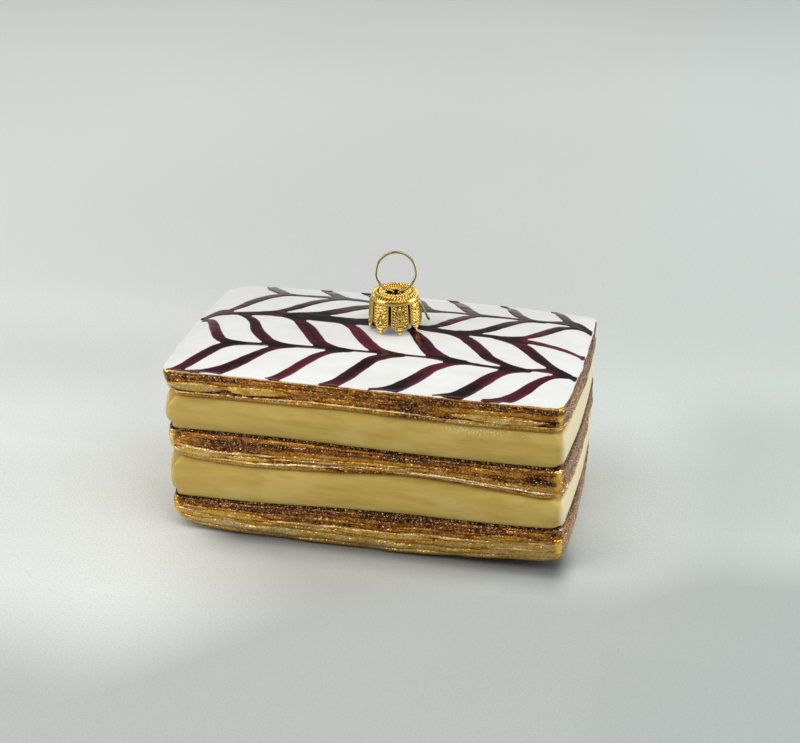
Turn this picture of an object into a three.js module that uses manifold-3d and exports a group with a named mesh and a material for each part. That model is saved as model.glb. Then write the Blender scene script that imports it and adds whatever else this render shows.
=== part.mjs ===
// Mille feuille slice as a blown glass hanging ornament: one moulded and painted glass body with a short neck, a
// crimped metal cap round the neck, and one bent wire whose ring is the hanger. Millimetres, +Z up.
// Front is -Y and the long way is X. The origin is on the ground, under the middle of the whole.

import * as THREE from 'three';
import { mergeVertices } from 'three/addons/utils/BufferGeometryUtils.js';
import Module from 'manifold-3d';

const wasm = await Module();
wasm.setup();

// ---- driving dimensions ----

const LENGTH = 90.5; // top face, along X
const DEPTH = 50.5; // top face, along Y
const EDGE_HEIGHT = 40.7; // height of the top face's edges
const DOME_RISE = 4.4; // the top face swells this much above its edges
const DOME_POWERS = { ends: 6, sides: 2.2 }; // how square the swelling is along X and along Y
const DOME_END_DROP = 0.85; // share of the rise that is gone at the ends
const CORNER_RADII = { frontLeft: 1.4, frontRight: 2, backRight: 1.8, backLeft: 4.5 };

const END_BOW = 1.1; // the short sides swell outwards in plan
const BACK_BOW = 1.2; // and so does the long side at the back
const BACK_LIFT = 0.5; // the middle of the back edge is higher than its ends
const RIGHT_END_FLARE = { front: 0.9, back: -1.1 }; // the right end's foot stands out or in
const FLARE_POWER = 1.3; // the flare grows faster towards the base
const BOW_ZONE = 8; // stretch next to each side that its bow and flare act on
const BASE_FLAT = { from: -26, to: 9 }; // stretch along X that touches the ground
const BASE_RISE = { left: 2.7, right: 2.4 }; // how far the base lifts at each end
const BASE_POWERS = { left: 2, right: 1.15 }; // how sharply it turns up there

const CRUST = { recess: -0.2, ledge: 0.55, rounding: 0.14, groove: 0.25, grooveWidth: 0.07 };
const CREAM = { recess: -0.7, bulge: 1.3, pinch: 0.7, pinchReach: 1.2 };
const SIDE_PINCH = 0.6; // share of a corner's pinch that reaches the sides next to it
const CORNER_PINCH_FADE = 0.8; // how much a pinch weakens from the middle of its corner's arc
const CORNER_PINCH = { frontLeft: 0.7, frontRight: 0.15, backRight: 0.6, backLeft: 0.6 };

const NECK = { x: 2.3, y: 0, radius: 3.9, top: 51.9, footRadius: 5, footZ: 45.2, stemZ: 46.6, bevel: 0.3 };
const BORE = { radius: 2.9, floor: 46.4 };

const CAP = {
  tipRadius: 5.95,
  bandRadius: 5.4,
  discRadius: 4.9,
  holeRadius: 2.85,
  rimRadius: 0.45,
  rimRise: 0.4,
  wall: 0.32,
  tipZ: 45.5,
  bandZ: 53.2,
  discZ: 53.9,
  tabs: 8,
  tabTurn: THREE.MathUtils.degToRad(24.5),
  tipLength: 2.4,
  slotWidth: 0.5,
  slotTop: 52.85,
  wireSlot: 1, // the slot that the wire's free end passes through
  wireSlotWidth: 1.3,
};

const WIRE_DIAMETER = 0.55;
const RING = { radius: 4.5, leanDegrees: 20, turnDegrees: 14, gap: 1.5, bottom: [2.95, -1.5, 54.35] };

// How finely the round and wavy surfaces are cut into facets.
const FACETS = {
  corner: 3,
  longSide: 20,
  shortSide: 12,
  neck: 32,
  cap: 48,
  rim: 4,
  ring: 20,
  wireSides: 7,
  wireSteps: 96,
};
const CROWDING = 0.75; // how much the facets of a side crowd towards its corners
const CRUST_LEVELS = [0, 0.14, 0.4, 0.5, 0.6, 0.86, 1];
const CREAM_LEVELS = [0.06, 0.22, 0.5, 0.78, 0.94];
const BASE_RINGS = [0.2, 0.5, 0.78, 0.93];
const DOME_RINGS = [0.985, 0.95, 0.87, 0.74, 0.55, 0.33];

// ---- the slice's layers, from the ground up ----

function baseHeight(x) {
  const left = Math.max(0, (BASE_FLAT.from - x) / (LENGTH / 2 + BASE_FLAT.from));
  const right = Math.max(0, (x - BASE_FLAT.to) / (LENGTH / 2 - BASE_FLAT.to));
  return BASE_RISE.left * left ** BASE_POWERS.left + BASE_RISE.right * right ** BASE_POWERS.right;
}

// 1 at a side of the slice and 0 a little way in; x or y is measured from the slice's middle.
function nearSide(distance, half) {
  return Math.max(0, distance - half + BOW_ZONE) / BOW_ZONE;
}

// A long wave that runs across the slice at a slant.
function wave(x, y, length, slant, phase) {
  return Math.cos((2 * Math.PI * (x + slant * y)) / length + phase);
}

// Height of each layer's lower edge, and of the top face's edge, at a place in plan.
const LAYER_EDGES = [
  (x) => baseHeight(x),
  (x, y) => 9.75 + 0.029 * x + 0.25 * wave(x, y, 61, 0.6, 1.2),
  (x, y) => 19.1 + 1.05 * wave(x, y, 78, 0.55, 0.08),
  (x, y) => 26 + 0.25 * wave(x, y, 83, 0.5, 2.6),
  (x, y) => 34.75 + 0.2 * wave(x, y, 70, 0.7, 2.2),
  (x, y) => EDGE_HEIGHT + BACK_LIFT * nearSide(y, DEPTH / 2) * (1 - ((2 * x) / LENGTH) ** 2),
];

// A crust band stands out as a ledge, with one long groove between its two flaky strata.
function crustSwell(level, pinch) {
  const fromEdge = Math.min(level, 1 - level) / CRUST.rounding;
  const roundedLedge = CRUST.ledge * Math.sqrt(1 - (1 - Math.min(1, fromEdge)) ** 2);
  const groove = CRUST.groove * Math.exp(-(((level - 0.5) / CRUST.grooveWidth) ** 2));
  return CRUST.recess + roundedLedge - groove * (1 + pinch);
}

// A cream band is a soft bulge that is pinched in at the slice's upright corners.
function creamSwell(level, pinch) {
  const bulge = Math.sqrt(1 - (2 * level - 1) ** 2);
  return CREAM.recess + (CREAM.bulge - CREAM.pinch * pinch) * bulge;
}

function domeHeight(x, y) {
  const alongX = 1 - DOME_END_DROP * Math.min(1, Math.abs(x) / (LENGTH / 2)) ** DOME_POWERS.ends;
  const alongY = 1 - Math.min(1, Math.abs(y) / (DEPTH / 2)) ** DOME_POWERS.sides;
  return LAYER_EDGES[5](x, y) + DOME_RISE * alongX * alongY;
}

// ---- plan outline ----

const CORNERS = [
  { name: 'frontLeft', sign: new THREE.Vector2(-1, -1), start: Math.PI },
  { name: 'frontRight', sign: new THREE.Vector2(1, -1), start: 1.5 * Math.PI },
  { name: 'backRight', sign: new THREE.Vector2(1, 1), start: 0 },
  { name: 'backLeft', sign: new THREE.Vector2(-1, 1), start: 0.5 * Math.PI },
];

function cornerCentre(corner) {
  const radius = CORNER_RADII[corner.name];
  return new THREE.Vector2(LENGTH / 2 - radius, DEPTH / 2 - radius).multiply(corner.sign);
}

function onCorner(corner, fraction) {
  const angle = corner.start + fraction * 0.5 * Math.PI;
  const spoke = new THREE.Vector2(Math.cos(angle), Math.sin(angle));
  return cornerCentre(corner).addScaledVector(spoke, CORNER_RADII[corner.name]);
}

function sidePinch(corner, distance) {
  return SIDE_PINCH * CORNER_PINCH[corner.name] * Math.exp(-((distance / CREAM.pinchReach) ** 2));
}

// Each point has its place, the way it moves when the outline grows by 1 mm, and how pinched it is.
function planOutline() {
  const points = [];
  CORNERS.forEach((corner, index) => {
    for (let i = 0; i <= FACETS.corner; i += 1) {
      const fraction = i / FACETS.corner;
      const pinch = CORNER_PINCH[corner.name] * (1 - CORNER_PINCH_FADE * Math.abs(fraction - 0.5));
      points.push({ place: onCorner(corner, fraction), grow: corner.sign.clone(), pinch });
    }
    const next = CORNERS[(index + 1) % CORNERS.length];
    const from = onCorner(corner, 1);
    const to = onCorner(next, 0);
    const steps = corner.sign.y === next.sign.y ? FACETS.longSide : FACETS.shortSide;
    for (let i = 1; i < steps; i += 1) {
      const along = i / steps - (CROWDING * Math.sin((2 * Math.PI * i) / steps)) / (2 * Math.PI);
      const place = from.clone().lerp(to, along);
      const pinch = sidePinch(corner, place.distanceTo(from)) + sidePinch(next, place.distanceTo(to));
      points.push({ place, grow: corner.sign.clone().lerp(next.sign, along), pinch });
    }
  });
  return points;
}

// How far the sides' bow and the right end's flare move a point of the plan.
function sideSwell(place, z) {
  const bowX = END_BOW * (1 - (place.y / (DEPTH / 2)) ** 2);
  const bowY = BACK_BOW * (1 - (place.x / (LENGTH / 2)) ** 2);
  const twist = THREE.MathUtils.lerp(RIGHT_END_FLARE.front, RIGHT_END_FLARE.back, place.y / DEPTH + 0.5);
  const flare = place.x > 0 ? twist * Math.max(0, 1 - z / EDGE_HEIGHT) ** FLARE_POWER : 0;
  const x = Math.sign(place.x) * nearSide(Math.abs(place.x), LENGTH / 2) * (bowX + flare);
  return new THREE.Vector2(x, nearSide(place.y, DEPTH / 2) * bowY);
}

function wallPoint(point, layer, level) {
  const { place, grow, pinch } = point;
  const swell = layer % 2 === 0 ? crustSwell(level, pinch) : creamSwell(level, pinch);
  const low = LAYER_EDGES[layer](place.x, place.y);
  const high = LAYER_EDGES[layer + 1](place.x, place.y);
  const z = THREE.MathUtils.lerp(low, high, level);
  const plan = place.clone().addScaledVector(grow, swell).add(sideSwell(place, z));
  return new THREE.Vector3(plan.x, plan.y, z);
}

// ---- solids ----

// A closed skin over rings that all have the same number of points, with a centre point at each end.
function ringSolid(rings, lowCentre, highCentre) {
  const count = rings[0].length;
  const positions = [lowCentre, ...rings.flat(), highCentre].flatMap((point) => point.toArray());
  const at = (ring, i) => 1 + ring * count + (i % count);
  const lastRing = rings.length - 1;
  const lastPoint = 1 + rings.length * count;
  const indices = [];
  for (let i = 0; i < count; i += 1) {
    indices.push(0, at(0, i + 1), at(0, i));
    for (let ring = 0; ring < lastRing; ring += 1) {
      indices.push(at(ring, i), at(ring, i + 1), at(ring + 1, i + 1));
      indices.push(at(ring, i), at(ring + 1, i + 1), at(ring + 1, i));
    }
    indices.push(lastPoint, at(lastRing, i), at(lastRing, i + 1));
  }
  const geometry = new THREE.BufferGeometry();
  geometry.setAttribute('position', new THREE.Float32BufferAttribute(positions, 3));
  geometry.setIndex(indices);
  return geometry;
}

function toManifold(geometry) {
  const bare = geometry.clone();
  bare.deleteAttribute('normal');
  bare.deleteAttribute('uv');
  const merged = mergeVertices(bare, 1e-4);
  const mesh = new wasm.Mesh({
    numProp: 3,
    vertProperties: new Float32Array(merged.attributes.position.array),
    triVerts: new Uint32Array(merged.index.array),
  });
  return new wasm.Manifold(mesh);
}

function toGeometry(manifold) {
  const mesh = manifold.getMesh();
  const geometry = new THREE.BufferGeometry();
  geometry.setAttribute('position', new THREE.Float32BufferAttribute(mesh.vertProperties, 3));
  geometry.setIndex(new THREE.BufferAttribute(mesh.triVerts, 1));
  return geometry;
}

// A turned solid that stands upright on the neck's axis, from a [radius, z] profile.
function turned(profile, segments) {
  const points = profile.map(([radius, z]) => new THREE.Vector2(radius, z));
  const geometry = new THREE.LatheGeometry(points, segments);
  geometry.rotateX(Math.PI / 2);
  geometry.translate(NECK.x, NECK.y, 0);
  return toManifold(geometry);
}

// The moulded slice: flat patch and lifted ends below, five bands round the sides, and the domed top.
function sliceSolid() {
  const outline = planOutline();
  const flatRing = (scale, height) => outline.map(({ place }) => {
    const { x, y } = place.clone().add(sideSwell(place, EDGE_HEIGHT)).multiplyScalar(scale);
    return new THREE.Vector3(x, y, height(x, y));
  });
  const rings = BASE_RINGS.map((scale) => flatRing(scale, baseHeight));
  for (let layer = 0; layer + 1 < LAYER_EDGES.length; layer += 1) {
    const levels = layer % 2 === 0 ? CRUST_LEVELS : CREAM_LEVELS;
    levels.forEach((level) => rings.push(outline.map((point) => wallPoint(point, layer, level))));
  }
  DOME_RINGS.forEach((scale) => rings.push(flatRing(scale, domeHeight)));
  const lowCentre = new THREE.Vector3(0, 0, baseHeight(0));
  const highCentre = new THREE.Vector3(0, 0, domeHeight(0, 0));
  return toManifold(ringSolid(rings, lowCentre, highCentre));
}

function glassBody() {
  const neck = turned([
    [0, EDGE_HEIGHT],
    [NECK.footRadius, EDGE_HEIGHT],
    [NECK.footRadius, NECK.footZ],
    [NECK.radius, NECK.stemZ],
    [NECK.radius, NECK.top - NECK.bevel],
    [NECK.radius - NECK.bevel, NECK.top],
    [0, NECK.top],
  ], FACETS.neck);
  const bore = turned([
    [0, BORE.floor],
    [BORE.radius, BORE.floor],
    [BORE.radius, NECK.top + 1],
    [0, NECK.top + 1],
  ], FACETS.neck);
  return toGeometry(sliceSolid().add(neck).subtract(bore));
}

// The gap between two tabs: narrow above, opening to the tabs' pointed tips below.
function slotCutter(angle, width) {
  const halfWidth = width / 2;
  const halfPitch = (Math.PI * CAP.tipRadius) / CAP.tabs;
  const tipStart = CAP.tipZ + CAP.tipLength;
  const below = CAP.tipZ - 1;
  const rightHalf = [
    [halfPitch, below],
    [halfPitch, CAP.tipZ],
    [halfWidth, tipStart],
    [halfWidth, CAP.slotTop],
  ];
  const leftHalf = rightHalf.map(([x, z]) => [-x, z]).reverse();
  const shape = new THREE.Shape([...rightHalf, ...leftHalf].map(([x, z]) => new THREE.Vector2(x, z)));
  const reach = { near: 3.6, far: 7.6 };
  const geometry = new THREE.ExtrudeGeometry(shape, { depth: reach.far - reach.near, bevelEnabled: false });
  geometry.rotateX(Math.PI / 2);
  geometry.translate(0, -reach.near, 0);
  geometry.rotateZ(angle);
  geometry.translate(NECK.x, NECK.y, 0);
  return toManifold(geometry);
}

function cap() {
  const rim = [];
  for (let i = 0; i <= FACETS.rim; i += 1) {
    const angle = (i / FACETS.rim) * Math.PI;
    const radius = CAP.holeRadius + CAP.rimRadius * (1 + Math.cos(angle));
    rim.push([radius, CAP.discZ + CAP.rimRise * Math.sin(angle)]);
  }
  let shell = turned([
    [CAP.tipRadius - CAP.wall, CAP.tipZ],
    [CAP.tipRadius, CAP.tipZ],
    [CAP.bandRadius, CAP.bandZ],
    [CAP.discRadius, CAP.discZ],
    ...rim,
    [CAP.holeRadius, CAP.discZ - CAP.wall],
    [CAP.discRadius - CAP.wall, CAP.discZ - CAP.wall],
    [CAP.bandRadius - CAP.wall, CAP.bandZ - CAP.wall],
    [CAP.tipRadius - CAP.wall, CAP.tipZ],
  ], FACETS.cap);
  for (let slot = 0; slot < CAP.tabs; slot += 1) {
    const angle = CAP.tabTurn + ((slot + 0.5) * 2 * Math.PI) / CAP.tabs;
    shell = shell.subtract(slotCutter(angle, slot === CAP.wireSlot ? CAP.wireSlotWidth : CAP.slotWidth));
  }
  return toGeometry(shell);
}

// The ring leans back and is turned a little, with a gap at its foot where the two legs start.
function ringPoints() {
  const lean = THREE.MathUtils.degToRad(RING.leanDegrees);
  const turn = THREE.MathUtils.degToRad(RING.turnDegrees);
  const across = new THREE.Vector3(Math.cos(turn), Math.sin(turn), 0);
  const back = new THREE.Vector3(-Math.sin(turn), Math.cos(turn), 0);
  const up = back.multiplyScalar(Math.sin(lean)).setZ(Math.cos(lean));
  const centre = new THREE.Vector3(...RING.bottom).addScaledVector(up, RING.radius);
  const opening = Math.asin(RING.gap / 2 / RING.radius);
  const points = [];
  for (let i = 0; i <= FACETS.ring; i += 1) {
    const angle = opening + (i / FACETS.ring) * 2 * (Math.PI - opening);
    const point = centre.clone().addScaledVector(across, -RING.radius * Math.sin(angle));
    points.push(point.addScaledVector(up, -RING.radius * Math.cos(angle)));
  }
  return points;
}

// One wire: a leg in the neck, the ring, and a leg that crosses the neck's lip and ends outside the cap.
function hanger() {
  const neckLeg = [[0.8, -1, 47.2], [1.2, -1.2, 49.5], [1.8, -1.4, 51.7], [2.1, -1.6, 53.3]];
  const freeLeg = [
    [3.6, -1.4, 53.75], [3.95, -1.3, 52.95], [4.9, -0.9, 52.7], [6.3, -0.35, 52.68], [7.3, 0, 52.3],
    [7.9, 0.2, 51.7], [8.55, 0.7, 50.3], [9.25, 1.35, 48.4], [9.9, 1.95, 46.6],
  ];
  const place = (point) => new THREE.Vector3(...point);
  const route = [...neckLeg.map(place), ...ringPoints(), ...freeLeg.map(place)];
  const section = new THREE.Shape();
  for (let i = 0; i < FACETS.wireSides; i += 1) {
    const angle = (i / FACETS.wireSides) * 2 * Math.PI;
    const corner = [Math.cos(angle) * WIRE_DIAMETER / 2, Math.sin(angle) * WIRE_DIAMETER / 2];
    if (i === 0) {
      section.moveTo(...corner);
    } else {
      section.lineTo(...corner);
    }
  }
  section.closePath();
  const extrudePath = new THREE.CatmullRomCurve3(route, false, 'centripetal');
  return new THREE.ExtrudeGeometry(section, { steps: FACETS.wireSteps, extrudePath, bevelEnabled: false });
}

// ---- the object ----

function namedMesh(name, geometry, material) {
  const mesh = new THREE.Mesh(geometry, new THREE.MeshStandardMaterial(material));
  mesh.name = name;
  return mesh;
}

const group = new THREE.Group();
group.add(namedMesh('glass_body', glassBody(), { color: 0xb59b55, roughness: 0.35, metalness: 0 }));
group.add(namedMesh('cap', cap(), { color: 0xc79a3a, roughness: 0.3, metalness: 1 }));
group.add(namedMesh('hanger', hanger(), { color: 0xbfa45a, roughness: 0.3, metalness: 1 }));

// The flared end makes the footprint a little one-sided, so the whole moves to put its middle over the origin.
const middle = new THREE.Box3().setFromObject(group).getCenter(new THREE.Vector3());
group.position.set(-middle.x, -middle.y, 0);

export default group;
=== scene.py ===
"""Looks of the mille feuille slice, a blown and painted glass hanging ornament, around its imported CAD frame.

Shapes are worked out in plan millimetres: x along the slice, y to the back, z up from the ground, and the
middle of the slice's plan at 0, 0. piece() carries them to the frame's metres.
"""

import math
import bpy
import numpy as np
from mathutils import Matrix, Vector


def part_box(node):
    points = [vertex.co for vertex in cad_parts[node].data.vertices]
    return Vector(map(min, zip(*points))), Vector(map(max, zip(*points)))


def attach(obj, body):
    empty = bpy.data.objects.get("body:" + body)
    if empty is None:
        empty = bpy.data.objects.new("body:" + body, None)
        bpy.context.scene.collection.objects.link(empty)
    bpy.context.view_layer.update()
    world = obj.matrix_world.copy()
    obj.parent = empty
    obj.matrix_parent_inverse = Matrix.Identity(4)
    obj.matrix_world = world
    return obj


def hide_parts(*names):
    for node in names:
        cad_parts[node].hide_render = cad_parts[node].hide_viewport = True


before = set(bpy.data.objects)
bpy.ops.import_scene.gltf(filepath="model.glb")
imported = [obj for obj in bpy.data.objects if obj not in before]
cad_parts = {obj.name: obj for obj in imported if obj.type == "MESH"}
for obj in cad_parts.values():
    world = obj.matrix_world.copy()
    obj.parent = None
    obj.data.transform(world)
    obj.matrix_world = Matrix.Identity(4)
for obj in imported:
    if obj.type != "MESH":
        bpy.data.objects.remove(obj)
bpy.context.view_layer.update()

MM = 0.001
BODY = "root"

# ---- the slice's driving dimensions, in millimetres, as the CAD has them ----

LENGTH = 90.5
DEPTH = 50.5
EDGE_HEIGHT = 40.7
DOME_RISE = 4.4
CORNER_RADII = (1.4, 2.0, 1.8, 4.5)  # front left, front right, back right, back left
END_BOW = 1.1
BACK_BOW = 1.2
BACK_LIFT = 0.5
END_TWIST = (0.9, -1.1)  # the right end's foot stands out at the front and in at the back
BOW_ZONE = 8.0
BASE_FLAT = (-26.0, 9.0)
BASE_RISE = (2.7, 2.4)
# Lower edge of each layer between the base and the icing: its height, its climb per mm of x, and its wave's
# rise, length, slant per mm of y, and phase.
LAYER_EDGES = {
    1: (9.75, 0.029, 0.25, 61, 0.6, 1.2),
    2: (19.1, 0, 1.05, 78, 0.55, 0.08),
    3: (26, 0, 0.25, 83, 0.5, 2.6),
    4: (34.75, 0, 0.2, 70, 0.7, 2.2),
}
CRUST_RECESS = -0.2
CRUST_LEDGE = 0.55
CRUST_ROUNDING = 0.14
CREAM_RECESS = -0.7
CREAM_BULGE = 1.3
NECK_AXIS = (2.3, 0.0)
NECK_RADIUS = 3.9

body_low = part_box("glass_body")[0]
PLAN_SHIFT = np.array([
    body_low.x / MM + LENGTH / 2 + END_BOW + CREAM_RECESS + CREAM_BULGE,
    body_low.y / MM + DEPTH / 2 + CREAM_RECESS + CREAM_BULGE,
    0.0,
])


# ---- small helpers, and noise from seeded tables ----

def smooth_step(x):
    x = np.clip(x, 0, 1)
    return x * x * (3 - 2 * x)


def round_over(x):
    """A quarter of a circle, from 0 up to 1 where x reaches 1."""
    return np.sqrt(1 - (1 - np.minimum(1, x)) ** 2)


def bell(x):
    """A smooth hump, 1 at 0 and near 0 beyond 2."""
    return np.exp(-x ** 2)


def unit_rows(rows):
    return rows / np.maximum(np.linalg.norm(rows, axis=1), 1e-9)[:, None]


def lattice(u, v, wrap, seed, rows=64):
    """Smooth noise from -1 to 1 on a unit lattice, which repeats after `wrap` cells in u and `rows` in v."""
    table = np.random.default_rng(seed).uniform(-1, 1, (rows, wrap))
    column = np.floor(u).astype(int)
    row = np.floor(v).astype(int)
    fu = smooth_step(u - column)
    fv = smooth_step(v - row)
    left, right = column % wrap, (column + 1) % wrap
    low, high = row % rows, (row + 1) % rows
    lower = table[low, left] * (1 - fu) + table[low, right] * fu
    upper = table[high, left] * (1 - fu) + table[high, right] * fu
    return lower * (1 - fv) + upper * fv


# ---- the outline in plan ----

CORNER_SIGNS = np.array([(-1, -1), (1, -1), (1, 1), (-1, 1)], float)
CORNER_STARTS = (math.pi, 1.5 * math.pi, 0.0, 0.5 * math.pi)  # angle at which each corner's arc starts

def plan_outline(spacing):
    """Points round the slice from its front left corner: their places, how each moves per mm of growth, and
    their run along it."""
    arcs = []
    for sign, radius, start in zip(CORNER_SIGNS, CORNER_RADII, CORNER_STARTS):
        steps = max(6, round(0.5 * math.pi * radius / spacing))
        angles = start + np.linspace(0, 0.5 * math.pi, steps + 1)
        centre = (np.array([LENGTH, DEPTH]) / 2 - radius) * sign
        arcs.append(centre + radius * np.column_stack([np.cos(angles), np.sin(angles)]))
    places, grows, middles = [], [], []
    for index, (arc, sign) in enumerate(zip(arcs, CORNER_SIGNS)):
        following = (index + 1) % 4
        side = arcs[following][0] - arc[-1]
        side_steps = round(float(np.linalg.norm(side)) / spacing)
        along = (np.arange(1, side_steps) / side_steps)[:, None]
        middles.append(sum(len(part) for part in places) + (len(arc) - 1) / 2)
        places += [arc, arc[-1] + side * along]
        grows += [np.tile(sign, (len(arc), 1)), sign + (CORNER_SIGNS[following] - sign) * along]
    place = np.vstack(places)
    step = np.linalg.norm(np.roll(place, -1, axis=0) - place, axis=1)
    run = np.concatenate([[0], np.cumsum(step)[:-1]])
    corners = np.interp(middles, np.arange(len(run)), run)
    grow = np.vstack(grows)
    return {"place": place, "grow": grow, "run": run, "girth": float(step.sum()), "corners": corners}


def round_noise(outline, cells, row, seed):
    """Noise along the outline, with `cells` cells round it, from one row of a seeded table."""
    run = outline["run"]
    return lattice(run / outline["girth"] * cells, np.full_like(run, row), cells, seed)


def near_side(distance, half):
    return np.maximum(0, distance - half + BOW_ZONE) / BOW_ZONE


def base_height(x):
    left = np.maximum(0, (BASE_FLAT[0] - x) / (LENGTH / 2 + BASE_FLAT[0]))
    right = np.maximum(0, (x - BASE_FLAT[1]) / (LENGTH / 2 - BASE_FLAT[1]))
    return BASE_RISE[0] * left ** 2 + BASE_RISE[1] * right ** 1.15


def layer_edge(layer, x, y):
    """Height of a layer's lower edge. Layers 0, 2 and 4 are crusts, 1 and 3 creams, and 5 is the icing."""
    if layer == 0:
        return base_height(x)
    if layer == 5:
        return EDGE_HEIGHT + BACK_LIFT * near_side(y, DEPTH / 2) * (1 - (2 * x / LENGTH) ** 2)
    height, climb, rise, length, slant, phase = LAYER_EDGES[layer]
    return height + climb * x + rise * np.cos(math.tau * (x + slant * y) / length + phase)


def side_swell(place, z):
    """How far the ends' and the back's bow and the right end's twist move points of the plan at height z."""
    x, y = place[:, 0], place[:, 1]
    bow_x = END_BOW * (1 - (y / (DEPTH / 2)) ** 2)
    bow_y = BACK_BOW * (1 - (x / (LENGTH / 2)) ** 2)
    twist = END_TWIST[0] + (END_TWIST[1] - END_TWIST[0]) * (y / DEPTH + 0.5)
    flare = np.where(x > 0, twist * np.maximum(0, 1 - z / EDGE_HEIGHT) ** 1.3, 0)
    move_x = np.sign(x) * near_side(np.abs(x), LENGTH / 2) * (bow_x + flare)
    return np.column_stack([move_x, near_side(y, DEPTH / 2) * bow_y])


def dome_height(x, y):
    along_x = 1 - 0.85 * np.minimum(1, np.abs(x) / (LENGTH / 2)) ** 6
    along_y = 1 - np.minimum(1, np.abs(y) / (DEPTH / 2)) ** 2.2
    return layer_edge(5, x, y) + DOME_RISE * along_x * along_y


def corner_gap(outline, corner):
    """Distance along the outline from each of its points to the middle of a corner."""
    apart = np.abs(outline["run"] - outline["corners"][corner])
    return np.minimum(apart, outline["girth"] - apart)


def wall_ring(outline, layer, level, swell):
    """One ring of a layer's wall, grown by `swell` mm, the same all round or point by point."""
    place = outline["place"]
    low = layer_edge(layer, place[:, 0], place[:, 1])
    high = layer_edge(layer + 1, place[:, 0], place[:, 1])
    z = low + (high - low) * level
    plan = place + outline["grow"] * np.reshape(swell, (-1, 1)) + side_swell(place, z)
    return np.column_stack([plan, z])


def scaled_ring(outline, scale, height):
    """One ring inside the outline, laid on a height field."""
    place = outline["place"]
    plan = (place + side_swell(place, EDGE_HEIGHT)) * scale
    return np.column_stack([plan, height(plan[:, 0], plan[:, 1])])


# ---- meshes ----

def ring_faces(ring_count, size, closed=False):
    """Quads between rings of `size` points that follow each other, wound for outward faces. A closed set
    joins its last ring to its first."""
    low = np.arange(ring_count if closed else ring_count - 1)[:, None] * size
    high = (low + size) % (ring_count * size)
    here = np.arange(size)[None, :]
    after = (here + 1) % size
    quads = np.stack([low + here, low + after, high + after, high + here], axis=-1)
    return quads.reshape(-1, 4).tolist()


def ring_solid(rings, low_centre, high_centre):
    """A closed skin over rings, with a centre point at each end."""
    size = len(rings[0])
    points = np.vstack([*rings, low_centre, high_centre])
    low, high = len(points) - 2, len(points) - 1
    last = (len(rings) - 1) * size
    faces = ring_faces(len(rings), size)
    faces += [[low, (i + 1) % size, i] for i in range(size)]
    faces += [[high, last + i, last + (i + 1) % size] for i in range(size)]
    return points, faces


def add_object(name, data):
    made = bpy.data.objects.new(name, data)
    bpy.context.scene.collection.objects.link(made)
    return made


def piece(name, points, faces, material, stands_for, fields=None):
    """A mesh that rides on the slice's body. `fields` are named values at its points, for its material."""
    mesh = bpy.data.meshes.new(name)
    mesh.from_pydata(((points + PLAN_SHIFT) * MM).tolist(), [], faces)
    mesh.polygons.foreach_set("use_smooth", np.ones(len(mesh.polygons), bool))
    for field, values in (fields or {}).items():
        attribute = mesh.attributes.new(field, "FLOAT", "POINT")
        attribute.data.foreach_set("value", np.asarray(values, np.float32))
    mesh.materials.append(material)
    made = add_object(name, mesh)
    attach(made, BODY)
    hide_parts(stands_for)
    return made


# ---- materials ----

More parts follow.
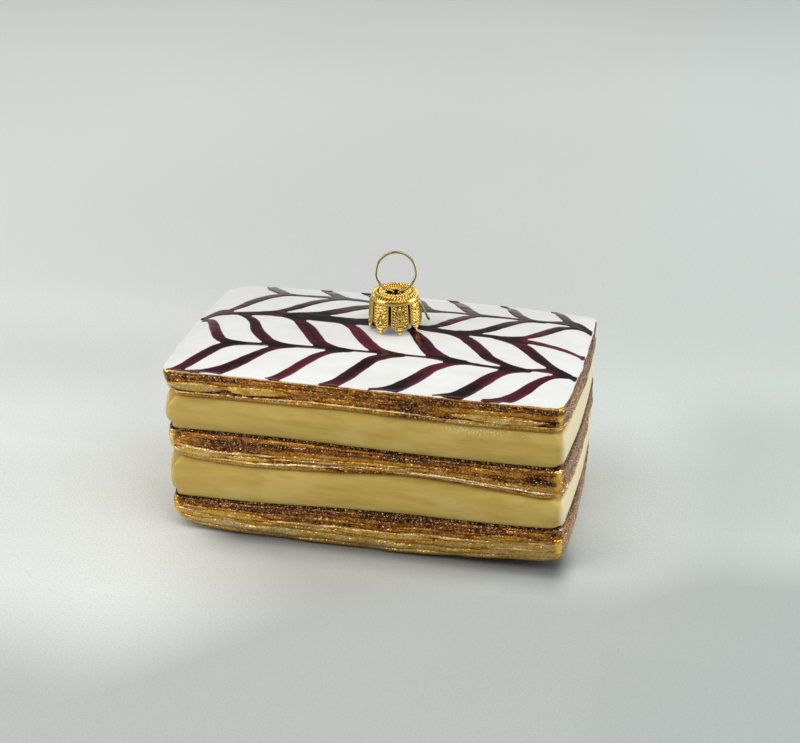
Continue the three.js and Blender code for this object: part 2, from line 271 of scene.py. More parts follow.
class Graph:
    """A node tree that ends in one shader, with short ways to add the nodes that the finishes use."""

    def __init__(self, owner, shader):
        owner.use_nodes = True
        self.owner = owner
        self.nodes = owner.node_tree.nodes
        self.links = owner.node_tree.links
        self.shader = self.nodes[shader]

    def feed(self, socket, value):
        """Gives a socket its value: a number or colour stays a constant, and a node's output is linked."""
        if isinstance(value, bpy.types.NodeSocket):
            self.links.new(value, socket)
        elif socket.type == "RGBA" and len(value) == 3:
            socket.default_value = (*value, 1)
        else:
            socket.default_value = value

    def set(self, **sockets):
        """Feeds the shader's sockets."""
        for socket, value in sockets.items():
            self.feed(self.shader.inputs[socket.replace("_", " ")], value)

    def node(self, kind, output, inputs, **settings):
        """A new node with its settings made and its inputs fed. Returns one of its outputs."""
        node = self.nodes.new("ShaderNode" + kind)
        for setting, value in settings.items():
            setattr(node, setting, value)
        for socket, value in inputs.items():
            self.feed(node.inputs[socket], value)
        return node.outputs[output]

    def field(self, name):
        return self.node("Attribute", "Fac", {}, attribute_name=name)

    def axis(self, kind, axis):
        """One axis of a kind of texture coordinates."""
        return self.node("SeparateXYZ", axis, {0: self.node("TexCoord", kind, {})})

    def place(self, stretch=(1, 1, 1)):
        """Object coordinates in millimetres, with each axis stretched."""
        where = self.node("TexCoord", "Object", {})
        return self.node("Mapping", "Vector", {"Vector": where, "Scale": [s / MM for s in stretch]})

    def noise(self, stretch, detail=2.0, roughness=0.5):
        inputs = {"Vector": self.place(stretch), "Scale": 1.0, "Detail": detail, "Roughness": roughness}
        return self.node("TexNoise", "Fac", inputs)

    def cells(self, per_mm):
        """Random colour of each cell of a Voronoi pattern."""
        return self.node("TexVoronoi", "Color", {"Vector": self.place(), "Scale": per_mm})

    def part(self, colour, channel):
        return self.node("SeparateColor", channel, {"Color": colour})

    def math(self, operation, a, b, clamp=False):
        return self.node("Math", 0, {0: a, 1: b}, operation=operation, use_clamp=clamp)

    def plus(self, a, b, clamp=False):
        return self.math("ADD", a, b, clamp)

    def minus(self, a, b):
        return self.math("SUBTRACT", a, b)

    def times(self, a, b):
        return self.math("MULTIPLY", a, b)

    def remap(self, value, low, high, to_low=0.0, to_high=1.0):
        inputs = {"Value": value, "From Min": low, "From Max": high, "To Min": to_low, "To Max": to_high}
        return self.node("MapRange", "Result", inputs, interpolation_type="SMOOTHSTEP")

    def ramp(self, value, stops):
        ramp = self.node("ValToRGB", "Color", {"Fac": value})
        elements = ramp.node.color_ramp.elements
        while len(elements) < len(stops):
            elements.new(0.5)
        for element, (position, colour) in zip(elements, stops):
            element.position = position
            element.color = (*colour, 1)
        return ramp

    def mix(self, share, a, b, blend="MIX"):
        return self.node("Mix", 2, {"Factor": share, 6: a, 7: b}, data_type="RGBA", blend_type=blend)

    def bump(self, height, distance, strength):
        inputs = {"Strength": strength, "Distance": distance * MM, "Height": height}
        return self.node("Bump", "Normal", inputs)

    def tilted(self, random_colour, amount):
        """The surface normal, leaned a different way in each cell, as glitter lies."""
        inputs = {0: random_colour, 1: (2 * amount,) * 3, 2: (-amount,) * 3}
        lean = self.node("VectorMath", 0, inputs, operation="MULTIPLY_ADD")
        normal = self.node("NewGeometry", "Normal", {})
        leaned = self.node("VectorMath", 0, {0: normal, 1: lean}, operation="ADD")
        return self.node("VectorMath", 0, {0: leaned}, operation="NORMALIZE")


def finish(name, build, *values):
    """A material whose surface is made by one of the functions below."""
    g = Graph(bpy.data.materials.new(name), "Principled BSDF")
    build(g, *values)
    return g.owner


CRUST_TONES = (
    (0.0, (0.014, 0.004, 0.002)),
    (0.14, (0.12, 0.032, 0.012)),
    (0.3, (0.32, 0.102, 0.006)),
    (0.46, (0.56, 0.235, 0.012)),
    (0.62, (0.54, 0.35, 0.075)),
    (0.8, (0.62, 0.48, 0.22)),
    (1.0, (0.86, 0.73, 0.48)),
)
FLAKES_PER_MM = 3.7  # cells of the glitter in the crusts' lacquer
STRAYS_PER_MM = 4.5  # cells of the stray glitter on a cream


def crust_lacquer(g):
    """Gold and copper lacquer under fine glitter: `tone` picks the colour, `bare` is smooth lacquer, and
    `cool` is the right end, with browner lacquer and paler, pinker flakes, the pale flakes partly a painted
    glint of the light from the right."""
    given, bare, cool = g.field("tone"), g.field("bare"), g.field("cool")
    grains = g.cells(FLAKES_PER_MM)
    red, green, blue = (g.part(grains, channel) for channel in ("Red", "Green", "Blue"))
    streaks = g.noise((0.12, 0.12, 1.6))
    blots = g.noise((0.3, 0.3, 0.6), detail=3, roughness=0.6)
    tone = g.plus(given, g.remap(streaks, 0.3, 0.7, -0.04, 0.04))
    tone = g.plus(tone, g.remap(blots, 0.3, 0.7, -0.09, 0.09))
    tone = g.plus(tone, g.remap(red, 0.0, 1.0, -0.1, 0.08), clamp=True)
    colour = g.ramp(tone, CRUST_TONES)
    # the palest tones, on the ridges, go champagne: their paint and a painted highlight
    colour = g.mix(g.remap(given, 0.78, 0.95, 0.0, 0.65), colour, (0.84, 0.69, 0.44))
    colour = g.mix(g.times(cool, 0.6), colour, (0.2, 0.095, 0.065))
    # the right end's flakes paler and pinker, partly a painted glint of the light from the right
    flake_colour = g.mix(cool, (0.95, 0.66, 0.27), (0.9, 0.76, 0.66))
    colour = g.mix(g.times(g.remap(green, 0.82, 0.86), 0.42), colour, flake_colour)
    colour = g.mix(g.times(g.remap(blue, 0.78, 0.82), 0.2), colour, (0.04, 0.012, 0.008))
    lacquer = g.ramp(blots, ((0.35, (0.6, 0.24, 0.02)), (0.5, (0.88, 0.52, 0.07)), (0.7, (0.94, 0.72, 0.32))))
    colour = g.mix(bare, colour, g.mix(g.remap(given, 0.0, 0.3), (0.02, 0.006, 0.004), lacquer))
    roughness = g.times(g.remap(red, 0.0, 1.0, 0.2, 0.42), g.remap(bare, 0.3, 0.9, 1.0, 0.45))
    g.set(Base_Color=colour, Metallic=0.7, Roughness=roughness, IOR=1.35, Normal=g.tilted(grains, 0.3))


def cream_paint(g):
    """Satin custard-coloured paint with long brush strokes, darker as painted shade where the band curves in
    at its top, its bottom and its rounded ends (`fold`).
    The paint is lighter at the two ends (`pale`), partly paler paint and partly a painted sheen of the light
    on the end faces, and `stray` is glitter that has strayed onto it."""
    strokes = g.noise((0.05, 0.05, 0.55), detail=4, roughness=0.6)
    patches = g.noise((0.07, 0.07, 0.16), detail=3)
    worn = g.noise((0.11, 0.11, 0.34), detail=3, roughness=0.6)
    colour = g.ramp(g.remap(strokes, 0.3, 0.7), ((0.0, (0.52, 0.346, 0.062)), (1.0, (0.63, 0.438, 0.094))))
    colour = g.mix(g.remap(patches, 0.45, 0.62, 0.0, 0.7), colour, (0.66, 0.485, 0.135))
    colour = g.mix(g.remap(worn, 0.52, 0.68, 0.0, 0.5), colour, (0.5, 0.325, 0.052))
    # lighter at the two ends: partly paler paint, partly a painted sheen of the light on the end faces
    colour = g.mix(g.field("pale"), colour, (0.76, 0.65, 0.38))
    # painted shade where the band curves in at its top, bottom and rounded ends
    colour = g.mix(g.times(g.field("fold"), 0.65), colour, (0.42, 0.27, 0.04))
    dots = g.remap(g.part(g.cells(STRAYS_PER_MM), "Red"), 0.88, 0.91)
    colour = g.mix(g.times(dots, g.field("stray")), colour, (0.9, 0.76, 0.46))
    height = g.noise((0.08, 0.08, 0.9), detail=3)
    g.set(Base_Color=colour, Roughness=0.4, IOR=1.5, Normal=g.bump(height, 0.15, 0.6))


def icing_enamel(g):
    """White enamel with faint brushing."""
    brushed = g.noise((0.1, 0.35, 0.3), detail=4)
    colour = g.ramp(brushed, ((0.3, (0.8, 0.8, 0.77)), (0.7, (0.87, 0.87, 0.85))))
    g.set(Base_Color=colour, Roughness=0.34, IOR=1.5, Normal=g.bump(brushed, 0.1, 0.35))


def feather_enamel(g):
    """Wine-dark glossy enamel: near black where it lies thick, redder where the brush thinned it."""
    streaks = g.noise((0.35, 0.7, 0.7))
    amount = g.plus(g.field("thin"), g.remap(streaks, 0.3, 0.7, -0.12, 0.12), clamp=True)
    wine = ((0.0, (0.004, 0.002, 0.003)), (0.45, (0.04, 0.004, 0.01)), (1.0, (0.12, 0.01, 0.024)))
    colour = g.ramp(amount, wine)
    g.set(Base_Color=colour, Roughness=0.08, IOR=1.45, Normal=g.bump(streaks, 0.1, 0.15))


def thin_metal(g, colour, dark, roughness):
    """Bright thin metal, darker by its `hollow` field: painted shade down in the cap's stamped hollows and
    over its inside, and a darker free end on the wire.
    """
    spots = g.noise((1.3, 1.3, 1.3), detail=3)
    hollow = g.plus(g.field("hollow"), g.remap(spots, 0.45, 0.75, 0.0, 0.15), clamp=True)
    worn = g.remap(spots, 0.2, 0.8, roughness * 0.75, roughness * 1.3)
    g.set(Base_Color=g.mix(hollow, colour, dark), Metallic=1.0, Roughness=worn)


def neck_glass(g):
    """Clear grey glass at the foot, and black-brown behind the cap and down the bore: painted shade in the
    bore, and behind the cap painted shade and a painted reflection of the cap's metal.
    """
    cloud = g.noise((0.6, 0.6, 1.2), detail=3)
    outside = g.ramp(cloud, ((0.3, (0.6, 0.6, 0.58)), (0.7, (0.8, 0.8, 0.78))))
    g.set(Base_Color=g.mix(g.field("inside"), outside, (0.085, 0.026, 0.008)), Roughness=0.2, IOR=1.5)


def glitter_flake(g, colour, tint):
    """One kind of glitter flake, each a little lighter or darker than the next."""
    shade = g.part(g.cells(3.0), "Red")
    g.set(Base_Color=g.mix(shade, colour, tint), Metallic=0.5, Roughness=0.25)


# ---- crusts ----

# Rows: a crust's mesh rows up the wall. Sheets: where each one's lower edge lies (0 to 1 up the crust), how
# far it stands out in mm, its tone, how much its edge sways, and how much its tone drifts along the slice.
# The tones are partly the pastry's paint and partly painted reflection and shade: paler low on a crust, where
# its wall mirrors the pale floor, darker higher up, palest on thin ridges as a painted highlight, and 0 on the
# recessed sheet under a cream, the gap there, as painted shade. Lenses, the lens-shaped folds of the front
# wall: x and level of the middle, half length in mm, half height, relief in mm and tone; the thin palest ones
# are ridges with a painted highlight. Hollows, near the front wall's corners: x and level of the middle, half
# length and depth in mm; their tone is darkened as painted shade. Tucks: how far in mm the front left and
# front right corners draw in, each at its foot and its top. Foot: the level below which the wall turns
# under, and how far in mm.
CRUSTS = {
    "crust_bottom": {
        "layer": 0, "rows": 64, "seed": 11, "tucks": ((0.9, 0.7), (0.5, 0.3)), "foot": (0.3, 0.75),
        "sheets": (
            (0.0, 0.0, 0.7, 0.0, 0.04), (0.16, 0.05, 0.72, 0.03, 0.05), (0.34, 0.12, 0.68, 0.04, 0.06),
            (0.52, 0.18, 0.8, 0.03, 0.1), (0.575, 0.02, 0.46, 0.03, 0.14), (0.67, 0.14, 0.44, 0.02, 0.1),
            (0.73, -0.04, 0.3, 0.02, 0.1), (0.86, 0.02, 0.23, 0.02, 0.08), (0.945, -0.5, 0.0, 0.01, 0.0),
        ),
        "lenses": (
            (36.0, 0.36, 8.0, 0.035, 0.2, 0.95), (-10.0, 0.72, 16.0, 0.035, 0.16, 0.5),
            (-30.0, 0.56, 9.0, 0.12, 0.16, 0.62), (6.0, 0.5, 12.0, 0.1, 0.14, 0.64),
            (33.0, 0.64, 8.0, 0.1, 0.14, 0.5),
        ),
        "hollows": ((-42.6, 0.84, 1.1, 0.7), (44.3, 0.78, 1.4, 0.9)),
    },
    "crust_middle": {
        "layer": 2, "rows": 56, "seed": 23, "tucks": ((1.5, 0.6), (0.9, 0.4)), "foot": None,
        "sheets": (
            (0.0, 0.05, 0.47, 0.0, 0.1), (0.18, 0.3, 0.98, 0.05, 0.06), (0.24, 0.02, 0.58, 0.05, 0.18),
            (0.38, 0.16, 0.58, 0.05, 0.16), (0.45, -0.02, 0.36, 0.04, 0.12), (0.62, 0.04, 0.38, 0.03, 0.14),
            (0.8, 0.06, 0.31, 0.03, 0.12), (0.925, -0.55, 0.0, 0.015, 0.0),
        ),
        "lenses": (
            (-36.5, 0.32, 7.5, 0.12, 0.22, 0.6), (-26.0, 0.29, 6.0, 0.09, 0.16, 0.7),
            (2.0, 0.2, 9.0, 0.11, 0.1, 0.4), (22.0, 0.4, 12.0, 0.1, 0.14, 0.44),
            (-31.0, 0.43, 14.0, 0.045, 0.3, 1.0), (-9.0, 0.35, 13.0, 0.035, 0.22, 0.95),
            (4.0, 0.285, 9.5, 0.035, 0.22, 0.95), (20.0, 0.17, 17.0, 0.035, 0.2, 0.9),
        ),
        "hollows": ((-43.3, 0.8, 1.2, 0.9), (40.0, 0.6, 3.2, 0.5)),
    },
    "crust_top": {
        "layer": 4, "rows": 56, "seed": 37, "tucks": ((1.5, 0.0), (0.5, 0.0)), "foot": None,
        "sheets": (
            (0.0, 0.05, 0.46, 0.0, 0.12), (0.18, 0.26, 0.94, 0.02, 0.06), (0.235, -0.08, 0.28, 0.02, 0.08),
            (0.29, 0.1, 0.46, 0.05, 0.22), (0.46, 0.02, 0.34, 0.04, 0.16), (0.7, 0.07, 0.3, 0.03, 0.14),
            (0.89, -0.04, 0.22, 0.02, 0.1), (0.935, 0.08, 0.48, 0.01, 0.1),
        ),
        "lenses": (
            (-37.5, 0.43, 8.0, 0.2, 0.3, 0.86), (-23.0, 0.45, 8.5, 0.19, 0.24, 0.66),
            (-33.5, 0.83, 6.0, 0.1, 0.12, 0.14), (31.0, 0.36, 11.0, 0.16, 0.16, 0.74),
            (33.0, 0.27, 9.0, 0.035, 0.18, 0.9), (36.0, 0.4, 8.0, 0.035, 0.16, 0.8),
        ),
        "hollows": ((-44.4, 0.6, 0.9, 0.5),),
    },
}
SHEET_GROOVE = 0.22  # mm, how deep the line between two sheets is
SHEET_FOLD = 0.22  # mm, how much a sheet swells and sinks along the slice
FLAKE_RELIEF = 0.035  # mm, the finest layering of the pastry
GRAIN_RELIEF = 0.02  # mm, the grit of the glitter
GRAIN_CELL = 0.31  # mm
SPECKLE_CELL = 0.9  # mm, size of the paint's speckles
TONE_DRIFT = 1.6  # share of a sheet's own drift
TONE_SHIFT = -0.055  # of every sheet
LENS_HALO = 0.22  # width of the groove round a lens, as a share of the lens
GLASSY_TONES = (0.5, 0.75)  # the lenses between these tones are olive and amber folds
GLASSY_LENS = 0.45  # how bare those folds are
BARE_REACH = (1.3, 0.8, 0.9, 0.9)  # mm along the outline from each corner, where the lacquer has no glitter
BARE_CELL = 2.1  # mm, size of the waves of a bare corner's edge
CORNER_SMOOTHING = 2.4  # mm from a corner, where the sheets run together
HIDDEN_DEPTH = 1.6  # mm that a crust's hidden edges lie inside its wall
SHARED_SWAY = (0.04, 0.016)  # share of its height that all of a crust's sheets sway together, slow and quick
SPECKLE_TONE = 0.08  # how much the speckles change the tone
FINE_TONE = 0.04  # how much the finest layering changes it
# Painted shade: the groove between two sheets and the groove round a lens are darkened.
GROOVE_SHADE = 0.45  # tone of the line between two sheets, as a share of theirs
LENS_GROOVE = {"depth": 0.16, "shade": 0.22}  # mm and tone of the groove round a lens
BASE_SCALES = (0.3, 0.65, 0.9, 0.95)  # rings of the underside, as shares of the plan


def sheet_edges(spec, sheets, outline, shared):
    """Levels of the lower edge of every sheet round the slice, and of the crust's top."""
    edges = []
    for k, (low, _, _, sway, _) in enumerate(sheets):
        slow = round_noise(outline, 13, k, spec["seed"])
        quick = round_noise(outline, 53, k, spec["seed"] + 1)
        edges.append(low + (sway * (slow + 0.5 * quick) + shared) * (0 < low < 0.9))
    edges.append(np.ones_like(shared))
    return np.maximum.accumulate(np.array(edges), axis=0)


def crust_wall(name, outline):
    """Levels of a crust's rows, and the swell, tone and bareness of its wall, as arrays of rows by points."""
    spec = CRUSTS[name]
    seed, sheets = spec["seed"], np.array(spec["sheets"])
    place, girth = outline["place"], outline["girth"]
    levels = 0.5 - 0.5 * np.cos(math.pi * (0.12 + 0.76 * np.linspace(0, 1, spec["rows"])))
    levels = (levels - levels[0]) / (levels[-1] - levels[0])
    level, along = np.meshgrid(levels, outline["run"], indexing="ij")

    shared = SHARED_SWAY[0] * round_noise(outline, 17, 0, seed + 8)
    shared = shared + SHARED_SWAY[1] * round_noise(outline, 71, 0, seed + 9)
    edges = sheet_edges(spec, sheets, outline, shared)
    index = np.clip((level[None] >= edges[:-1, None, :]).sum(0) - 1, 0, len(sheets) - 1)
    low = np.take_along_axis(edges, index, axis=0)
    high = np.take_along_axis(edges, index + 1, axis=0)
    inside = (level - low) / np.maximum(high - low, 1e-4)
    crown = 1 - np.abs(2 * np.clip(inside, 0, 1) - 1) ** 3
    # a sheet of tone 0 is the recessed gap under a cream, left black as painted shade
    clear_of_gap_shade = sheets[index, 2] > 0

    fold = SHEET_FOLD * lattice(along / girth * 41, index * 3.0, 41, seed + 2)
    fine = lattice(along / girth * 90, level * 18 + 6 * shared, 90, seed + 3)
    grit = lattice(along / GRAIN_CELL, level * 43, round(girth / GRAIN_CELL), seed + 4)
    drift = lattice(along / girth * 19, index * 5.0, 19, seed + 5)
    speckle = lattice(along / SPECKLE_CELL, level * 12, round(girth / SPECKLE_CELL), seed + 6)
    ragged = 1 + 0.5 * lattice(along / BARE_CELL, level * 9, round(girth / BARE_CELL), seed + 7)
    relief = (sheets[index, 1] + fold * clear_of_gap_shade + SHEET_GROOVE) * crown - SHEET_GROOVE
    tone = sheets[index, 2] + TONE_SHIFT + TONE_DRIFT * sheets[index, 4] * drift
    tone = tone + SPECKLE_TONE * speckle + FINE_TONE * fine
    # painted shade in the groove between two sheets, and black on the gap sheet
    tone = tone * (GROOVE_SHADE + (1 - GROOVE_SHADE) * smooth_step(crown * 3.0)) * clear_of_gap_shade

    bare = np.zeros_like(level)
    front = place[:, 1] < -DEPTH / 2 + 0.5
    for x, at, length, height, rise, lens_tone in spec["lenses"]:
        gap = ((place[:, 0] - x) / length) ** 2 + ((level - at - shared) / height) ** 2
        lens = front * smooth_step(1.6 * (1 - gap))
        halo = front * bell((gap - 1) / LENS_HALO)
        relief = relief * (1 - 0.6 * lens) + rise * lens - LENS_GROOVE["depth"] * halo
        # the groove round the lens darkened as painted shade
        tone = tone * (1 - 0.8 * lens) + 0.8 * lens * (lens_tone + 0.1 * fine) - LENS_GROOVE["shade"] * halo
        bare = np.maximum(bare, GLASSY_LENS * lens * (GLASSY_TONES[0] < lens_tone < GLASSY_TONES[1]))

    edge_gap = np.minimum(level, 1 - level) / CRUST_ROUNDING
    swell = CRUST_RECESS + CRUST_LEDGE * round_over(edge_gap) + relief
    swell = swell + FLAKE_RELIEF * fine + GRAIN_RELIEF * grit
    if spec["foot"]:
        turn, draw = spec["foot"]
        swell = swell - draw * (1 - round_over(level / turn))
    joined = np.zeros_like(level)
    for corner, reach in enumerate(BARE_REACH):
        gap = corner_gap(outline, corner)
        bare = np.maximum(bare, np.exp(-((gap / (reach * ragged)) ** 4)))
        joined = np.maximum(joined, bell(gap / CORNER_SMOOTHING))
    swell = swell - relief * joined * 0.85
    for corner, (foot, top) in enumerate(spec["tucks"]):
        near = bell(corner_gap(outline, corner) / CORNER_SMOOTHING)
        swell = swell - near * (foot * (1 - level) ** 2 + top * level ** 3)
    for x, at, length, depth in spec["hollows"]:
        height = float(np.ptp([layer_edge(spec["layer"] + step, x, -DEPTH / 2) for step in (0, 1)]))
        apart = ((place[:, 0] - x) ** 2 + (place[:, 1] + DEPTH / 2) ** 2) / length ** 2
        hollow = np.exp(-apart - ((level - at) * height / min(length, 1.1)) ** 2)
        swell = swell - depth * hollow
        # the hollow darkened as painted shade
        tone = tone * (1 - 0.92 * hollow)
    return levels, swell, np.clip(tone, 0, 1), bare


def build_crust(name, outline, material):
    """A crust as one closed slab. Returns its wall as rows by points, for the glitter that lies on it."""
    layer = CRUSTS[name]["layer"]
    levels, swell, tone, bare = crust_wall(name, outline)
    wall = [wall_ring(outline, layer, level, swell[i]) for i, level in enumerate(levels)]
    if layer == 0:
        below = [scaled_ring(outline, scale, lambda x, y: base_height(x)) for scale in BASE_SCALES]
    else:
        below = [wall_ring(outline, layer, 0.0, -HIDDEN_DEPTH)]
    above = [wall_ring(outline, layer, 1.0, -HIDDEN_DEPTH)]
    floor, roof = (float(layer_edge(edge, 0.0, 0.0)) for edge in (layer, layer + 1))
    points, faces = ring_solid([*below, *wall, *above], [0, 0, floor], [0, 0, roof])
    hidden = np.zeros(len(outline["run"]))
    fields = {
        "tone": np.concatenate([*[tone[0]] * len(below), tone.ravel(), tone[-1], [0.5, 0.5]]),
        "bare": np.concatenate([*[hidden] * len(below), bare.ravel(), hidden, [0, 0]]),
        "cool": smooth_step((points[:, 0] - LENGTH / 2 + 0.3) / 0.9),
    }
    piece(name, points, faces, material, "glass_body", fields)
    return {"wall": np.array(wall), "bare": bare}


# ---- creams ----

CREAMS = {"cream_lower": {"layer": 1, "seed": 51}, "cream_upper": {"layer": 3, "seed": 67}}
CREAM_ROWS = 24
CREAM_HIDDEN = (-3.0, -1.5)  # mm outwards, so inside the wall, of the rings that close a cream
BULGE_POWER = 2.6  # 2 is a round bulge, and more is a squarer one
LOBE_BULGE = 0.45  # bulge at a fully closed corner, as a share of the whole
CREAM_DENT = 0.1  # mm, slow unevenness of a cream
CREAM_RIPPLE = 0.03  # mm, its quick unevenness
CREAM_LAP = 0.035  # share of its height that a cream reaches past its edges, hidden in the crusts
LOBE_REACH = 3.0  # mm, how far from a corner a cream's rounded end starts
LOBE_SHUT = (0.92, 0.15, 0.8, 0.8)  # how much each corner closes, in the order of CORNER_RADII
STRAYS = {"on": "cream_upper", "x": 26.0, "length": 9.0, "reach": 2.6}  # glitter that strayed onto a cream


def build_cream(name, outline, material):
    """A cream band as one closed slab that bulges out and ends in rounded lobes at the corners."""
    layer, seed = CREAMS[name]["layer"], CREAMS[name]["seed"]
    flat = np.ones(len(outline["run"]))
    height = flat
    for corner, shut in enumerate(LOBE_SHUT):
        height = np.minimum(height, 1 - shut * (1 - round_over(corner_gap(outline, corner) / LOBE_REACH)))
    rings = [wall_ring(outline, layer, -CREAM_LAP, hidden) for hidden in CREAM_HIDDEN]
    folds = [flat, flat]
    for level in 0.5 - 0.5 * np.cos(np.linspace(0, math.pi, CREAM_ROWS)):
        dent = round_noise(outline, 23, level * 2.2, seed)
        ripple = round_noise(outline, 60, level * 7, seed + 1)
        bulge = np.sqrt(np.maximum(0, 1 - (np.abs(2 * level - 1) / height) ** BULGE_POWER))
        swell = CREAM_RECESS + CREAM_BULGE * bulge * (LOBE_BULGE + (1 - LOBE_BULGE) * height)
        swell = swell + CREAM_DENT * dent * bulge + CREAM_RIPPLE * ripple
        rings.append(wall_ring(outline, layer, level, swell))
        # painted shade where the bulge curves in
        folds.append(1 - smooth_step(bulge * 1.6))
    rings += [wall_ring(outline, layer, 1 + CREAM_LAP, hidden) for hidden in CREAM_HIDDEN[::-1]]
    folds += [flat, flat, [1, 1]]
    floor = float(layer_edge(layer, 0.0, 0.0)) - 0.2
    roof = float(layer_edge(layer + 1, 0.0, 0.0)) + 0.2
    points, faces = ring_solid(rings, [0, 0, floor], [0, 0, roof])
    x, y, z = points.T
    near_top = smooth_step((z - layer_edge(layer + 1, x, -DEPTH / 2) + STRAYS["reach"]) / 1.5)
    stray = bell((x - STRAYS["x"]) / STRAYS["length"]) * (y < 0) * (name == STRAYS["on"])
    fields = {
        "fold": np.concatenate(folds),
        # the ends' paler paint and painted sheen
        "pale": smooth_step((np.abs(x) - LENGTH / 2 + np.where(x < 0, 0.7, 0.3)) / 1.2),
        "stray": stray * near_top,
    }
    piece(name, points, faces, material, "glass_body", fields)


# ---- icing ----

ICING_SKIN = 0.14  # mm of enamel on the dome
EDGE_WOBBLE = 0.16  # mm, how unevenly the enamel's edge is painted
LEFT_DRAPE = 0.45  # mm that the enamel runs out over the left end
DOME_UNEVEN = 0.05  # mm, how uneven the enamel's top is
NECK_FILLET = {"radius": 5.2, "rise": 0.3}
# The enamel's rounded edge, from its hidden start up: mm out and a share of the wobble, mm up and a share.
ICING_LIP = (
    (-1.4, 0, -0.35, 0), (-0.25, 1, -0.3, 0), (-0.02, 1, -0.18, 0.6),
    (0.04, 1, -0.02, 0), (-0.06, 1, 0.12, 0), (-0.28, 0.6, 0.24, 0),
)
ICING_RINGS = (
    0.97, 0.955, 0.93, 0.9, 0.86, 0.81, 0.75, 0.68, 0.6, 0.52, 0.44, 0.36, 0.28, 0.21, 0.15, 0.1, 0.05,
)


def icing_height(x, y):
    """The icing's upper face: the dome with its skin, a little uneven, drawn up round the neck's foot."""
    from_neck = np.hypot(x - NECK_AXIS[0], y - NECK_AXIS[1])
    drawn_up = np.clip((NECK_FILLET["radius"] - from_neck) / (NECK_FILLET["radius"] - NECK_RADIUS), 0, 1) ** 2
    uneven = lattice(x / 9 + 40, y / 7 + 40, 90, 71)
    return dome_height(x, y) + ICING_SKIN + NECK_FILLET["rise"] * drawn_up + DOME_UNEVEN * uneven


def build_icing(outline, material):
    """The white enamel as one closed skin, with a rounded, wobbling edge that drapes over the left end."""
    place = outline["place"]
    edge = layer_edge(5, place[:, 0], place[:, 1])
    wobble = EDGE_WOBBLE * (round_noise(outline, 70, 0, 73) + 0.6 * round_noise(outline, 190, 0, 74))
    drape = LEFT_DRAPE * smooth_step((-place[:, 0] - LENGTH / 2 + 1.2) / 1.2)
    drape = drape * smooth_step((DEPTH / 2 - np.abs(place[:, 1])) / 3)
    rings = []
    for out, out_wobble, up, up_wobble in ICING_LIP:
        grown = outline["grow"] * (out + out_wobble * wobble + drape)[:, None]
        rise = up + up_wobble * wobble
        height = edge + rise - drape * (rise < 0)
        rings.append(np.column_stack([place + grown + side_swell(place, edge), height]))
    rings += [scaled_ring(outline, scale, icing_height) for scale in ICING_RINGS]
    points, faces = ring_solid(rings, [0, 0, EDGE_HEIGHT - 0.35], [0, 0, float(icing_height(0.0, 0.0))])
    piece("icing", points, faces, material, "glass_body")


# ---- feathered icing ----

# Long lines of the pattern, as x, y and half width.
MIDDLE_LINE = (
    (-45.6, 2, 0.45), (-44.2, 2.3, 1.45), (-41.3, 2.9, 1.9), (-37.4, 1.2, 0.95), (-32.7, 0.6, 1.15),
    (-28.4, 0.9, 1.35), (-23.4, 0.6, 1.55), (-18.4, 0.5, 1.75), (-11.3, 0.3, 1.85), (-4.1, 0.3, 1.7),
    (3, 0.4, 1.5), (8, 0.3, 1.35), (11.6, -0.4, 1.3), (18.7, -0.8, 0.95), (25.9, -0.8, 0.9), (29.4, -1, 1.35),
    (34.4, -0.8, 1.0), (40.1, -0.3, 0.85), (46.2, 0.4, 0.7),
)
FRONT_SPINE = (
    (-34.5, -14.1, 0.6), (-28.4, -14.1, 0.62), (-20.6, -13.7, 0.62), (-9.9, -13.3, 0.5), (-1.3, -13.2, 0.42),
    (6, -13.1, 0.42), (15.9, -13.2, 0.45), (20.9, -13.7, 0.55), (27.3, -14.2, 0.5), (33, -13.8, 0.6),
    (37.3, -12.6, 0.6), (41.6, -11, 1.3), (44.3, -10.7, 1.2), (46.4, -10.9, 0.5),
)
BACK_SPINE = (
    (-30.4, 16.3, 0.95), (-22.7, 16.6, 1.1), (-17.4, 16.9, 1.1), (-9.9, 16.6, 1.2), (0, 14, 1.2),
    (7.3, 12.1, 1.3), (11.6, 12.5, 0.8), (15.9, 12.6, 0.75), (20.9, 12.3, 1.05), (25.9, 12.5, 0.75),
    (30.1, 12.6, 0.75), (35.9, 14.1, 0.75), (41, 16.5, 1.9), (43.6, 15.6, 1.7), (45.6, 14.7, 0.9),
)
BACK_ENDS = ((-24.5, 16.6), (-10.2, 17), (2.5, 14.2), (11, 12.5), (22.9, 12.3), (34.8, 12.9), (45.4, 15.1))
